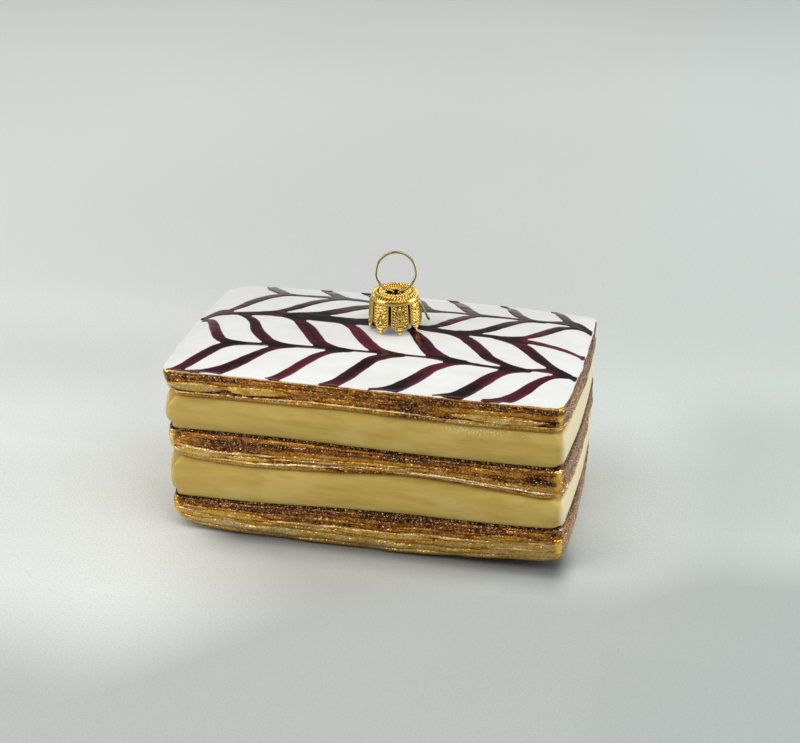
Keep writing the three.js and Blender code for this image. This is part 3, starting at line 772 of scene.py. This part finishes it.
# Each row of strokes: where they start, where they end on a spine, how far along each bends (0 to 1), and the
# half width of each.
FEATHER_ROWS = (
    (
        ((-45.2, -26), (-40.4, -25.4), (-23, -25.7), (-9.2, -25.7), (2.8, -25.4), (16.8, -25.4), (28, -25.1)),
        ((-29.4, -14.2), (-18, -13.8), (-4.8, -13.6), (7.4, -13.5), (22.1, -13.9), (35.8, -13.7),
         (43.8, -12)),
        (0.4, 0.59, 0.47, 0.45, 0.51, 0.53, 0.62), (1.6, 1.5, 1.25, 1.6, 1.55, 1.6, 1.4),
    ),
    (
        ((-44.8, 0.4), (-34.8, -0.2), (-23.6, -0.4), (-11, -0.8), (4.4, -0.8), (13.6, -1.2), (26.2, -1.4)),
        ((-30, -14), (-18.2, -13.5), (-5.6, -13.3), (7, -13), (21.4, -13.3), (34.4, -13.2), (46.3, -10.7)),
        (0.36, 0.33, 0.4, 0.385, 0.345, 0.46, 0.46), (1.25, 1.4, 1.8, 1.55, 1.75, 1.5, 1.6),
    ),
    (
        ((-39.4, 27.8), (-24.6, 27.8), (-14, 27.4), (-1.6, 27.2), (8.2, 27), (22, 26.4), (33.4, 26.4)),
        BACK_ENDS, (0.38, 0.37, 0.38, 0.41, 0.41, 0.35, 0.41), (1.6, 1.6, 1.5, 1.5, 1.5, 1.4, 1.3),
    ),
    (
        ((-41.2, 2.2), (-29.8, 1.4), (-22.2, 1.8), (-6.5, 1.6), (8.4, 0.8), (17.4, 0.1), (29, -0.1)),
        BACK_ENDS, (0.37, 0.44, 0.48, 0.46, 0.46, 0.52, 0.47), (1.7, 1.45, 1.8, 1.5, 1.4, 1.4, 1.15),
    ),
)
BEND_SOFTNESS = 0.125  # share of a stroke's way that its bend takes
STROKE_SWELL = ((0, 0.4), (0.14, 0.62), (0.34, 1.0), (0.56, 1.0), (0.78, 0.6), (1, 0.3))  # width along it
FEATHER_CELL = 0.25  # mm, grid that the enamel's surface is laid out on
FEATHER_PROUD = 0.16  # mm of enamel above the icing
FEATHER_EDGE = 0.5  # mm, width of its rounded edge
FEATHER_RAGGED = 0.05  # mm, how uneven its outline is
FEATHER_STREAKS = 0.25  # share of its thickness that the brush streaks change
JUNCTION_FILLET = 0.6  # mm, how softly strokes run into each other
FEATHER_ROOT = 0.35  # mm from the enamel's top down to its hidden underside
HAND_WOBBLE = 0.08  # mm, how unsteady a stroke is
STROKE_REACH = 3.2  # mm round a stroke in which it counts
FAR = 9.0  # mm, farther than any stroke counts


def curve(points, steps):
    """A Catmull-Rom curve through the points, in `steps` steps from each to the next."""
    rows = np.array(points, float)
    rows = np.vstack([2 * rows[0] - rows[1], rows, 2 * rows[-1] - rows[-2]])
    t = np.linspace(0, 1, steps, endpoint=False)[:, None]
    spans = []
    for p0, p1, p2, p3 in zip(rows, rows[1:], rows[2:], rows[3:]):
        bent = (p2 - p0) * t + (2 * p0 - 5 * p1 + 4 * p2 - p3) * t ** 2 + (3 * p1 - p0 - 3 * p2 + p3) * t ** 3
        spans.append(0.5 * (2 * p1 + bent))
    return np.vstack([*spans, rows[-2]])


def smooth_path(points, spacing):
    """A curve through the points (each a row of plan coordinates and others), at even spacing in plan."""
    dense = curve(points, 24)
    gone = np.concatenate([[0], np.cumsum(np.linalg.norm(np.diff(dense[:, :2], axis=0), axis=1))])
    at = np.linspace(0, gone[-1], max(2, round(gone[-1] / spacing)) + 1)
    return np.column_stack([np.interp(at, gone, column) for column in dense.T])


def feather_strokes():
    """Every painted line as rows of x, y and half width."""
    rng = np.random.default_rng(83)
    strokes = [smooth_path(line, 0.6) for line in (MIDDLE_LINE, FRONT_SPINE, BACK_SPINE)]
    share = np.linspace(0, 1, 9)
    for row in FEATHER_ROWS:
        for start, end, bend, half in zip(*row):
            turn = 1 / (1 + np.exp((bend - share) / BEND_SOFTNESS))
            turn = (turn - turn[0]) / (turn[-1] - turn[0])
            points = np.array(start) + np.subtract(end, start) * np.column_stack([share, turn])
            points[1:-1] += rng.normal(0, HAND_WOBBLE, (len(share) - 2, 2))
            path = smooth_path(np.column_stack([points, share]), 0.5)
            path[:, 2] = half * np.interp(path[:, 2], *zip(*STROKE_SWELL))
            strokes.append(path)
    return strokes


def stroke_distance(x, y, stroke):
    """Signed distance to a line of changing width: below 0 inside it."""
    nearest = np.full(x.shape, FAR)
    for (ax, ay, aw), (bx, by, bw) in zip(stroke[:-1], stroke[1:]):
        dx, dy = bx - ax, by - ay
        t = np.clip(((x - ax) * dx + (y - ay) * dy) / (dx * dx + dy * dy), 0, 1)
        apart = np.hypot(x - ax - t * dx, y - ay - t * dy) - (aw + t * (bw - aw))
        nearest = np.minimum(nearest, apart)
    return nearest


def outside_plan(x, y):
    """Signed distance to the plan's edge: below 0 inside it."""
    bow_x = END_BOW * (1 - (y / (DEPTH / 2)) ** 2)
    bow_y = np.where(y > 0, BACK_BOW * (1 - (x / (LENGTH / 2)) ** 2), 0)
    return np.maximum(np.abs(x) - LENGTH / 2 - bow_x, np.abs(y) - DEPTH / 2 - bow_y)


def feather_field(x, y):
    """Signed distance to the whole pattern, with soft joins, and how many strokes meet at each place."""
    field = np.full(x.shape, FAR)
    pile = np.zeros(x.shape)
    for stroke in feather_strokes():
        low, high = stroke[:, :2].min(0) - STROKE_REACH, stroke[:, :2].max(0) + STROKE_REACH
        near = (x > low[0]) & (x < high[0]) & (y > low[1]) & (y < high[1])
        apart = np.full(x.shape, FAR)
        apart[near] = stroke_distance(x[near], y[near], stroke)
        blend = np.clip(0.5 + 0.5 * (field - apart) / JUNCTION_FILLET, 0, 1)
        field = field * (1 - blend) + apart * blend - JUNCTION_FILLET * blend * (1 - blend)
        pile += smooth_step((1.0 - apart) / 1.2)
    return np.maximum(field, outside_plan(x, y) + 0.02), pile


def feather_faces(keep, number):
    """Faces of a raised skin over the kept cells of a grid, its underside, and the walls at its edge."""
    i, j = np.nonzero(keep)
    a, b, c, d = number[i, j], number[i, j + 1], number[i + 1, j + 1], number[i + 1, j]
    count = number.max() + 1
    faces = [np.column_stack([a, b, c, d]), np.column_stack([d, c, b, a]) + count]
    padded = np.pad(keep, 1)
    for neighbour, first, second in (
        (padded[:-2, 1:-1], a, b), (padded[1:-1, 2:], b, c),
        (padded[2:, 1:-1], c, d), (padded[1:-1, :-2], d, a),
    ):
        alone = ~neighbour[i, j]
        first, second = first[alone], second[alone]
        faces.append(np.column_stack([second, first, first + count, second + count]))
    return np.vstack(faces).tolist()


def build_feathers(material):
    """The feathered lines as one raised, round-edged skin of enamel, closed underneath inside the icing."""
    half_x = LENGTH / 2 + END_BOW + 1
    half_y = DEPTH / 2 + BACK_BOW + 1
    x, y = np.meshgrid(np.arange(-half_x, half_x, FEATHER_CELL), np.arange(-half_y, half_y, FEATHER_CELL))
    field, pile = feather_field(x, y)
    field = field + FEATHER_RAGGED * lattice(x / 1.3 + 60, y / 1.3 + 60, 160, 89)
    gy, gx = np.gradient(field, FEATHER_CELL)
    keep = field[:-1, :-1] + field[1:, :-1] + field[:-1, 1:] + field[1:, 1:] < 0

    touched = np.zeros(field.shape, int)
    for di in (0, 1):
        for dj in (0, 1):
            touched[di:di + keep.shape[0], dj:dj + keep.shape[1]] += keep
    used = touched > 0
    rim = used & (touched < 4)
    slope = np.maximum(gx * gx + gy * gy, 0.25)
    limit = 0.6 * FEATHER_CELL
    x = np.where(rim, x + np.clip(-field * gx / slope, -limit, limit), x)[used]
    y = np.where(rim, y + np.clip(-field * gy / slope, -limit, limit), y)[used]
    depth = np.where(rim, 0, np.maximum(0, -field))[used]
    proud = FEATHER_PROUD * round_over(depth / FEATHER_EDGE)
    proud = proud * (1 + FEATHER_STREAKS * lattice(x / 2.3 + 60, y / 0.9 + 60, 90, 91))
    top = icing_height(x, y) + proud - 0.02
    number = np.full(field.shape, -1)
    number[used] = np.arange(used.sum())
    points = np.vstack([np.column_stack([x, y, z]) for z in (top, top - FEATHER_ROOT)])

    thick = smooth_step((depth - 0.9) / 0.9)
    hue = 0.5 + 0.5 * lattice(x / 8 + 20, y / 6 + 20, 40, 93)
    heavy = bell((y - 0.7) / 2.2) * smooth_step((26 - np.abs(x + 4)) / 14)
    piled = smooth_step((pile[used] - 1.1) / 0.9)
    thin = np.clip(0.1 + 0.9 * hue - 0.5 * thick, 0, 1) * (1 - 0.85 * heavy) * (1 - 0.85 * piled)
    fields = {"thin": np.tile(thin, 2)}
    piece("feathers", points, feather_faces(keep, number), material, "glass_body", fields)


# ---- neck, cap and wire ----

NECK_PROFILE = (
    (4.5, 44.3), (4.4, 44.8), (4.15, 45.3), (4, 45.9), (3.92, 46.7), (3.88, 47.6), (3.85, 49.5), (3.9, 51.2),
    (3.86, 51.75), (3.6, 51.92), (3.2, 51.92), (2.95, 51.75), (2.9, 51.2), (2.9, 48.5), (2.9, 46.6),
    (2.6, 46.4),
)
NECK_SIDES = 72
CAP_BAND = (5.4, 53.2)  # radius and height of the band's top, where the tabs' slope starts
CAP_TIP = (5.95, 45.5)  # radius and height of a tab's point
CAP_WALL = 0.32
CAP_TABS = 8
CAP_TURN = math.radians(24.5)
TAB_TOP = 52.45
TAB_SHOULDER = 47.9  # where a tab starts to narrow to its point
SLOT_WIDTHS = (0.5, 1.3, 0.5, 0.5, 0.5, 0.5, 0.5, 0.5)  # the second one lets the wire out
TAB_GRID = (41, 72)  # columns and rows of a tab's mesh
TAB_FLATNESS = 0.7  # 1 is a flat tab, and 0 one that is as round as the neck
TAB_STAMP = {"border": 0.12, "rope": 0.2, "seam": 0.12, "beads": 0.06, "stipple": 0.16, "step": 0.22}  # mm
BEAD_SPACING = 0.5  # mm
STIPPLE_CELL = 0.25  # mm
CAP_SKIN = (
    (2.25, 53.3), (2.38, 53.55), (2.62, 53.85), (2.86, 54.16), (3.1, 54.34), (3.36, 54.36), (3.6, 54.2),
    (3.74, 53.94), (3.9, 53.8), (4.06, 53.84), (4.26, 54.06), (4.54, 54.12), (4.78, 53.96), (4.94, 53.76),
    (5.12, 53.48), (5.3, 53.18), (5.44, 52.84), (5.5, 52.35),
)
CAP_LINING = ((5.16, 52.35), (5.0, 53.1), (4.62, 53.5), (3.9, 53.52), (3.18, 53.5))
# painted shade over the cap's inside
LINING_SHADE = 0.6  # how dark the cap's inside is
CROWN_SEGMENTS = 400
RIM_RIBS = {"from": 2.3, "to": 3.74, "count": 34, "slant": 0.0, "depth": 0.15}
ROPE_RIBS = {"from": 4.1, "to": 5.24, "count": 44, "slant": 1.2, "depth": 0.2}
HOLLOWS = {"radius": 3.94, "reach": 0.2, "count": 20, "depth": 0.16}
WIRE_RADIUS = 0.275
WIRE_SIDES = 14
WIRE_STEPS = 12  # from each point of its route to the next
WIRE_TIP = ((0, 0.3), (0.35, 1.0), (0.8, 1.25), (1.5, 1.0))  # mm from the free end, and share of the radius
RING_POINTS = 21
RING_RADIUS = 4.5
RING_LEAN = math.radians(20)
RING_TURN = math.radians(14)
RING_GAP = 1.5
RING_BOTTOM = (2.95, -1.5, 54.35)
NECK_LEG = ((0.8, -1, 47.2), (1.2, -1.2, 49.5), (1.8, -1.4, 51.7), (2.1, -1.6, 53.3))
FREE_LEG = (
    (3.6, -1.4, 53.75), (3.95, -1.3, 52.95), (4.9, -0.9, 52.7), (6.3, -0.35, 52.68), (7.3, 0, 52.3),
    (7.9, 0.2, 51.7), (8.55, 0.7, 50.3), (9.25, 1.35, 48.4), (9.9, 1.95, 46.6),
)


def circle(segments):
    """Angles round the neck's axis from its front, and the unit circle's points there."""
    angles = np.linspace(0, math.tau, segments, endpoint=False)
    return angles, np.column_stack([np.sin(angles), -np.cos(angles)])


def turned(profile, segments):
    """Rings of a shape turned about the neck's axis, from [radius, z] rows."""
    unit = circle(segments)[1]
    return [np.column_stack([unit * radius + NECK_AXIS, np.full(segments, z)]) for radius, z in profile]


def build_neck(material):
    """The stub of glass that the cap grips, with its open bore."""
    bottom, bore_floor = NECK_PROFILE[0][1], NECK_PROFILE[-1][1]
    rings = turned(smooth_path(NECK_PROFILE, 0.3), NECK_SIDES)
    points, faces = ring_solid(rings, [*NECK_AXIS, bottom], [*NECK_AXIS, bore_floor])
    from_axis = np.hypot(points[:, 0] - NECK_AXIS[0], points[:, 1] - NECK_AXIS[1])
    # painted shade down the bore, and behind the cap painted shade and reflection of its metal
    inside = np.maximum(smooth_step((3.3 - from_axis) / 0.3), smooth_step((points[:, 2] - bore_floor) / 0.8))
    piece("neck", points, faces, material, "glass_body", {"inside": inside})


def cap_crown():
    """The cap's ribbed top and smooth band, as a closed ring of metal."""
    angles, unit = circle(CROWN_SEGMENTS)
    skin = smooth_path(CAP_SKIN, 0.075)
    tangent = np.gradient(skin, axis=0)
    normal = unit_rows(np.column_stack([-tangent[:, 1], tangent[:, 0]]))
    rings, hollows = [], []
    for (radius, z), out in zip(skin, normal):
        push = np.zeros(CROWN_SEGMENTS)
        for ribs in (RIM_RIBS, ROPE_RIBS):
            across = (radius - ribs["from"]) / (ribs["to"] - ribs["from"])
            if 0 < across < 1:
                lobe = np.sin(math.pi * across) ** 0.5
                phase = ribs["count"] * angles + ribs["slant"] * math.pi * across
                push += ribs["depth"] * lobe * np.cos(phase)
        hollow = bell((radius - HOLLOWS["radius"]) / HOLLOWS["reach"])
        push -= HOLLOWS["depth"] * hollow * (0.5 + 0.5 * np.cos(HOLLOWS["count"] * angles)) ** 2
        plan = unit * (radius + out[0] * push)[:, None] + NECK_AXIS
        rings.append(np.column_stack([plan, z + out[1] * push]))
        # painted shade down in the crown's stamped hollows
        hollows.append(np.clip(-push / 0.14, 0, 1) * 0.95)
    rings += turned(CAP_LINING, CROWN_SEGMENTS)
    hollows.append(np.full(CROWN_SEGMENTS * len(CAP_LINING), LINING_SHADE))
    faces = ring_faces(len(rings), CROWN_SEGMENTS, closed=True)
    return np.vstack(rings), [face[::-1] for face in faces], np.concatenate(hollows)


def tab_relief(edge, z, seed):
    """Stamping on a tab: a plain border, a rope along it, then stipple, by distance from the tab's edge."""
    border = TAB_STAMP["border"] * bell((edge - 0.14) / 0.12)
    twist = np.cos(math.tau * (z / 0.7 + edge * 0.8))
    rope = TAB_STAMP["rope"] * bell((edge - 0.6) / 0.24) * twist
    seam = -TAB_STAMP["seam"] * bell((edge - 0.34) / 0.09)
    beads = np.cos(math.tau * (edge - 0.8) / BEAD_SPACING) * np.cos(math.tau * z / BEAD_SPACING)
    stipple = lattice(edge / STIPPLE_CELL + 7, z / STIPPLE_CELL, 64, seed)
    middle = smooth_step((edge - 0.85) / 0.3)
    return border + rope + seam + middle * (TAB_STAMP["beads"] * beads + TAB_STAMP["stipple"] * stipple)


def cap_tab(index):
    """One tab, from the band down to its point, as a closed strip of stamped metal."""
    columns, rows = TAB_GRID
    heights = np.linspace(TAB_TOP, CAP_TIP[1], rows)[:, None]
    u = np.linspace(-1, 1, columns)
    fall = (CAP_BAND[1] - heights) / (CAP_BAND[1] - CAP_TIP[1])
    radius = CAP_BAND[0] + (CAP_TIP[0] - CAP_BAND[0]) * fall + 0.12 * np.sin(math.pi * np.clip(fall, 0, 1))
    narrowing = np.clip((TAB_SHOULDER - heights) / (TAB_SHOULDER - CAP_TIP[1]), 0, 1)
    slots = np.where(u < 0, SLOT_WIDTHS[index - 1], SLOT_WIDTHS[index])
    half = (radius * math.pi / CAP_TABS - slots / 2) * (1 - 0.96 * narrowing ** 1.15)
    across = u * half
    edge = np.minimum(half - np.abs(across), (heights - CAP_TIP[1]) * 0.7)
    z = np.repeat(heights, columns, axis=1)
    push = tab_relief(edge, z, 101 + index)
    push = push - TAB_STAMP["step"] * bell((z - TAB_TOP + 0.16) / 0.14)
    turn = CAP_TURN + index * math.tau / CAP_TABS
    outward = np.array([math.sin(turn), -math.cos(turn)])
    sideways = np.array([math.cos(turn), math.sin(turn)])
    bend = across / radius
    depth = radius * (TAB_FLATNESS + (1 - TAB_FLATNESS) * np.cos(bend))
    aside = (radius * np.sin(bend))[..., None] * sideways
    skins = []
    for offset in (push, -CAP_WALL):
        plan = (depth + offset)[..., None] * outward + aside + NECK_AXIS
        skins.append(np.concatenate([plan, z[..., None]], axis=-1).reshape(-1, 3))
    count = rows * columns
    a = (np.arange(rows - 1)[:, None] * columns + np.arange(columns - 1)).ravel()
    quads = np.column_stack([a, a + columns, a + columns + 1, a + 1])
    faces = quads.tolist() + (quads[:, ::-1] + count).tolist()
    loop = [*range(columns), *range(2 * columns - 1, count, columns),
            *range(count - 2, count - columns - 1, -1), *range(count - 2 * columns, 0, -columns)]
    faces += [[a, b, b + count, a + count] for a, b in zip(loop, loop[1:] + loop[:1])]
    # painted shade down in the tab's stamped hollows, and over its inside
    hollow = 0.95 * np.clip(0.15 - push / 0.15, 0, 1).ravel()
    return np.vstack(skins), faces, np.concatenate([hollow, np.full(count, LINING_SHADE)])


def build_cap(material):
    """The crown and its tabs as one piece of metal."""
    points, faces, hollow = [], [], []
    start = 0
    for part in [cap_crown(), *[cap_tab(index) for index in range(CAP_TABS)]]:
        points.append(part[0])
        faces += [[start + i for i in face] for face in part[1]]
        hollow.append(part[2])
        start += len(part[0])
    fields = {"hollow": np.concatenate(hollow)}
    piece("cap_metal", np.vstack(points), faces, material, "cap", fields)


def wire_route():
    """The bent wire's middle line: a leg in the neck, the leaning ring, and a leg that leaves the cap."""
    across = np.array([math.cos(RING_TURN), math.sin(RING_TURN), 0])
    back = np.array([-math.sin(RING_TURN), math.cos(RING_TURN), 0])
    up = back * math.sin(RING_LEAN) + np.array([0, 0, math.cos(RING_LEAN)])
    centre = np.array(RING_BOTTOM) + up * RING_RADIUS
    opening = math.asin(RING_GAP / 2 / RING_RADIUS)
    ring = [centre - RING_RADIUS * (across * math.sin(a) + up * math.cos(a))
            for a in np.linspace(opening, math.tau - opening, RING_POINTS)]
    return np.array([*NECK_LEG, *ring, *FREE_LEG], float)


def swept(route, radii, sides):
    """A closed round tube along a route, with the section turned as little as it can be."""
    tangent = unit_rows(np.gradient(route, axis=0))
    side = np.cross(tangent[0], [0.3, 1, 0.2])
    rings = []
    for at, along, radius in zip(route, tangent, radii):
        side = side - along * side.dot(along)
        side /= np.linalg.norm(side)
        other = np.cross(along, side)
        angles = np.linspace(0, math.tau, sides, endpoint=False)[:, None]
        rings.append(at + radius * (np.cos(angles) * side + np.sin(angles) * other))
    return ring_solid(rings, route[0], route[-1])


def build_wire(material):
    route = curve(wire_route(), WIRE_STEPS)
    to_end = np.linalg.norm(route - route[-1], axis=1)
    points, faces = swept(route, WIRE_RADIUS * np.interp(to_end, *zip(*WIRE_TIP)), WIRE_SIDES)
    dark = np.clip(1 - np.linalg.norm(points - route[-1], axis=1) / WIRE_TIP[-1][0], 0, 1)
    piece("hanger_wire", points, faces, material, "hanger", {"hollow": dark})


# ---- glitter ----

GLITTER = (
    {"name": "glitter_gold", "count": 11000, "size": (0.06, 0.12), "seed": 201,
     "colour": (0.8, 0.48, 0.1), "tint": (0.95, 0.72, 0.28)},
    {"name": "glitter_copper", "count": 7000, "size": (0.06, 0.12), "seed": 202,
     "colour": (0.45, 0.16, 0.04), "tint": (0.75, 0.34, 0.1)},
    {"name": "glitter_silver", "count": 1500, "size": (0.05, 0.1), "seed": 203,
     "colour": (0.8, 0.7, 0.6), "tint": (0.95, 0.9, 0.84)},
)
FLAKE_HALF_THICKNESS = 0.018  # mm
FLAKE_WIDTH = 0.8  # as a share of a flake's length
FLAKE_LEAN = 0.35  # spread of the flakes' normals
FLAKE_LIMIT = 0.35  # no flakes where the lacquer is barer than this


def build_glitter(kind, walls, material):
    """Thin eight-sided flakes scattered over the crusts, lying nearly flat on them."""
    rng = np.random.default_rng(kind["seed"])
    all_rows = sum(len(wall["wall"]) for wall in walls)
    centres, normals = [], []
    for wall in walls:
        grid, bare = wall["wall"], wall["bare"]
        rows, columns = bare.shape
        count = int(kind["count"] * (rows / all_rows))
        i = rng.integers(1, rows - 1, count)
        j = rng.integers(0, columns, count)
        clear = bare[i, j] < FLAKE_LIMIT
        i, j = i[clear], j[clear]
        along = grid[i, (j + 1) % columns] - grid[i, j]
        upward = grid[i + 1, j] - grid[i - 1, j]
        out = unit_rows(np.cross(along, upward))
        at = grid[i, j] + along * rng.uniform(0, 1, (len(i), 1))
        at = at + upward * rng.uniform(-0.25, 0.25, (len(i), 1))
        centres.append(at + out * rng.uniform(0.01, 0.04, (len(i), 1)))
        normals.append(out)
    centre = np.vstack(centres)
    normal = unit_rows(np.vstack(normals) + rng.normal(0, FLAKE_LEAN, centre.shape))
    first = unit_rows(np.cross(normal, rng.normal(0, 1, centre.shape)))
    second = np.cross(normal, first) * FLAKE_WIDTH
    size = rng.uniform(*kind["size"], (len(centre), 1))
    arms = (first * size, second * size, -first * size, -second * size,
            normal * FLAKE_HALF_THICKNESS, -normal * FLAKE_HALF_THICKNESS)
    points = np.stack([centre + arm for arm in arms], axis=1).reshape(-1, 3)
    upper = [(k, (k + 1) % 4, 4) for k in range(4)]
    lower = [((k + 1) % 4, k, 5) for k in range(4)]
    pattern = np.array(upper + lower)
    faces = (np.arange(len(centre))[:, None, None] * len(arms) + pattern).reshape(-1, 3).tolist()
    made = piece(kind["name"], points, faces, material, "glass_body")
    made.data.polygons.foreach_set("use_smooth", np.zeros(len(made.data.polygons), bool))


# ---- the stage ----

CAMERA_AT = (90.872, -351.577, 204.151)
CAMERA_PITCH = math.radians(25.231)  # below the horizon
CAMERA_YAW = math.radians(-14.007)  # from +Y towards +X
CAMERA_ROLL = math.radians(-0.46)
CAMERA_LENS = 77.18
CAMERA_SENSOR = 36.0
FLOOR_RADIUS = 2.5
FLOOR_SIDES = 96
# Each light: its place, the height it points at and its size in metres, its power in watts, and its colour.
LIGHTS = {
    "front_left": ((-0.5, -0.3, 0.95), 0.0, (0.8, 0.8), 4.8, (1.0, 0.995, 0.98)),
    "front_right": ((0.5, -0.3, 0.95), 0.0, (0.8, 0.8), 4.8, (1.0, 0.995, 0.98)),
    "from_right": ((0.95, 0.3, 0.3), 0.03, (0.6, 0.5), 5.2, (0.97, 0.99, 1.0)),
    "from_left": ((-0.85, -0.5, 0.36), 0.03, (0.65, 0.5), 3.6, (1.0, 0.99, 0.97)),
}
WORLD_BY_HEIGHT = ((0, 0.46), (0.2, 0.4), (0.36, 0.2), (0.85, 0.24), (1, 0.8))  # grey by sine of elevation
WORLD_TINT = (1.0, 1.01, 1.02)
WORLD_IN_FRONT = 0.6  # strength before the slice, as a share of the strength behind it


def build_camera():
    """The photograph's camera."""
    level_part, drop = math.cos(CAMERA_PITCH), -math.sin(CAMERA_PITCH)
    forward = Vector((math.sin(CAMERA_YAW) * level_part, math.cos(CAMERA_YAW) * level_part, drop))
    level = Vector((math.cos(CAMERA_YAW), -math.sin(CAMERA_YAW), 0))
    upright = level.cross(forward)
    right = level * math.cos(CAMERA_ROLL) + upright * math.sin(CAMERA_ROLL)
    up = upright * math.cos(CAMERA_ROLL) - level * math.sin(CAMERA_ROLL)
    data = bpy.data.cameras.new("camera")
    data.sensor_fit = "HORIZONTAL"
    data.sensor_width = CAMERA_SENSOR
    data.lens = CAMERA_LENS
    data.clip_start = 0.01
    data.clip_end = 20
    camera = add_object("camera", data)
    turn = Matrix((right, up, -forward)).transposed().to_4x4()
    camera.matrix_world = Matrix.Translation(Vector(CAMERA_AT) * MM) @ turn
    bpy.context.scene.camera = camera


def floor_cloth(g):
    """A pale cloth with a fine weave, its brightness painted light and shade: lighter to the left and at the
    back, darker to the front and beside the slice's ends, lighter again far off, with soft painted shading of
    folds, cooler to the right, and dim right in front of the slice, a painted contact shadow where the photo
    has its narrow contact shadow. Places are in metres."""
    x, y = g.axis("Object", "X"), g.axis("Object", "Y")
    across = g.plus(x, g.times(y, 0.25))
    # painted light to the left of the slice, and painted shade to the front
    lit_to_left = g.times(g.remap(across, -0.01, -0.068), g.remap(y, -0.01, 0.08, 1.0, 0.42))
    shaded_to_front = g.remap(y, -0.05, -0.1)
    # painted light behind the slice, fading farther back
    behind = g.minus(g.remap(y, -0.045, 0.003), g.remap(y, 0.03, 0.12, 0.0, 0.46))
    # painted shade right of the slice's right end
    right = g.times(g.remap(x, 0.055, 0.085, 0.0, 0.45), g.remap(y, 0.045, 0.09, 1.0, 0.0))
    # painted shade left of the slice's left end
    left = g.times(g.remap(x, -0.05, -0.09, 0.0, 0.45), g.remap(y, 0.0, 0.03))
    left = g.times(left, g.remap(y, 0.05, 0.1, 1.0, 0.0))
    # painted light again far back and far to the left
    far = g.plus(g.remap(y, 0.12, 0.4, 0.0, 0.3), g.remap(x, 0.0, -0.25, 0.0, 0.22))
    light = g.math("MAXIMUM", g.minus(lit_to_left, shaded_to_front), g.plus(g.minus(g.minus(behind, right), left), far))
    # soft painted shading of cloth folds
    folds = g.noise((0.004, 0.004, 0.004), detail=1)
    light = g.plus(light, g.remap(folds, 0.3, 0.7, -0.06, 0.06), clamp=True)
    cloth = g.mix(light, (0.475, 0.49, 0.475), (0.835, 0.86, 0.83))
    cloth = g.mix(g.remap(x, -0.03, 0.08), cloth, (0.945, 0.995, 1.0), "MULTIPLY")
    # painted contact shadow just in front of the slice
    painted_contact_shadow = g.plus(g.remap(y, -0.038, -0.0265, 0.0, 0.45), g.remap(y, -0.0305, -0.0258, 0.0, 0.35))
    painted_contact_shadow = g.times(painted_contact_shadow, g.remap(y, -0.024, -0.01, 1.0, 0.0))
    painted_contact_shadow = g.times(g.times(painted_contact_shadow, g.remap(x, -0.042, -0.028)), g.remap(x, 0.044, 0.05, 1.0, 0.0))
    cloth = g.mix(painted_contact_shadow, cloth, (0.02, 0.018, 0.012))
    weave = g.noise((2.2, 2.2, 2.2), detail=1)
    cloth = g.mix(g.remap(weave, 0.3, 0.7, 0.0, 0.18), cloth, (0.3, 0.3, 0.3))
    g.set(Base_Color=cloth, Roughness=0.85, Normal=g.bump(weave, 0.15, 0.5))


def build_floor():
    mesh = bpy.data.meshes.new("floor")
    ring = [(FLOOR_RADIUS * math.cos(a), FLOOR_RADIUS * math.sin(a), 0)
            for a in np.linspace(0, math.tau, FLOOR_SIDES, endpoint=False)]
    faces = [(i, (i + 1) % FLOOR_SIDES, FLOOR_SIDES) for i in range(FLOOR_SIDES)]
    mesh.from_pydata([*ring, (0, 0, 0)], [], faces)
    mesh.materials.append(finish("pale_floor_cloth", floor_cloth))
    made = add_object("floor", mesh)


def build_light():
    """A grey room, darker in front than behind, and four soft lights."""
    world = Graph(bpy.data.worlds.new("studio"), "Background")
    greys = [(height, [grey * share for share in WORLD_TINT]) for height, grey in WORLD_BY_HEIGHT]
    world.set(Color=world.ramp(world.axis("Generated", "Z"), greys))
    to_back = world.axis("Generated", "Y")
    span = {"Value": to_back, "From Min": -0.6, "From Max": 0.3, "To Min": WORLD_IN_FRONT}
    world.set(Strength=world.node("MapRange", "Result", span))
    bpy.context.scene.world = world.owner
    for name, (at, aim, size, power, colour) in LIGHTS.items():
        data = bpy.data.lights.new(name, "AREA")
        data.shape = "RECTANGLE"
        data.size, data.size_y = size
        data.energy = power
        data.color = colour
        light = add_object(name, data)
        light.location = at
        light.rotation_euler = (Vector((0, 0, aim)) - Vector(at)).to_track_quat("-Z", "Y").to_euler()
    bpy.context.scene.view_settings.view_transform = "Standard"


# ---- the object ----

FINE_SPACING = 0.245  # mm between the points round a crust
COARSE_SPACING = 0.36  # mm between the points round a cream or the icing
OUTLINE = plan_outline(FINE_SPACING)
COARSE_OUTLINE = plan_outline(COARSE_SPACING)

build_camera()
build_light()
build_floor()

crust_finish = finish("glittered_crust_lacquer", crust_lacquer)
cream_finish = finish("satin_cream_paint", cream_paint)
walls = [build_crust(name, OUTLINE, crust_finish) for name in CRUSTS]
for name in CREAMS:
    build_cream(name, COARSE_OUTLINE, cream_finish)
build_icing(COARSE_OUTLINE, finish("white_icing_enamel", icing_enamel))
build_feathers(finish("wine_feather_enamel", feather_enamel))
build_neck(finish("neck_glass", neck_glass))
build_cap(finish("stamped_cap_metal", thin_metal, (0.83, 0.56, 0.14), (0.13, 0.06, 0.006), 0.2))
build_wire(finish("hanger_wire_metal", thin_metal, (0.46, 0.37, 0.15), (0.2, 0.15, 0.05), 0.16))
for kind in GLITTER:
    build_glitter(kind, walls, finish(kind["name"] + "_finish", glitter_flake, kind["colour"], kind["tint"]))
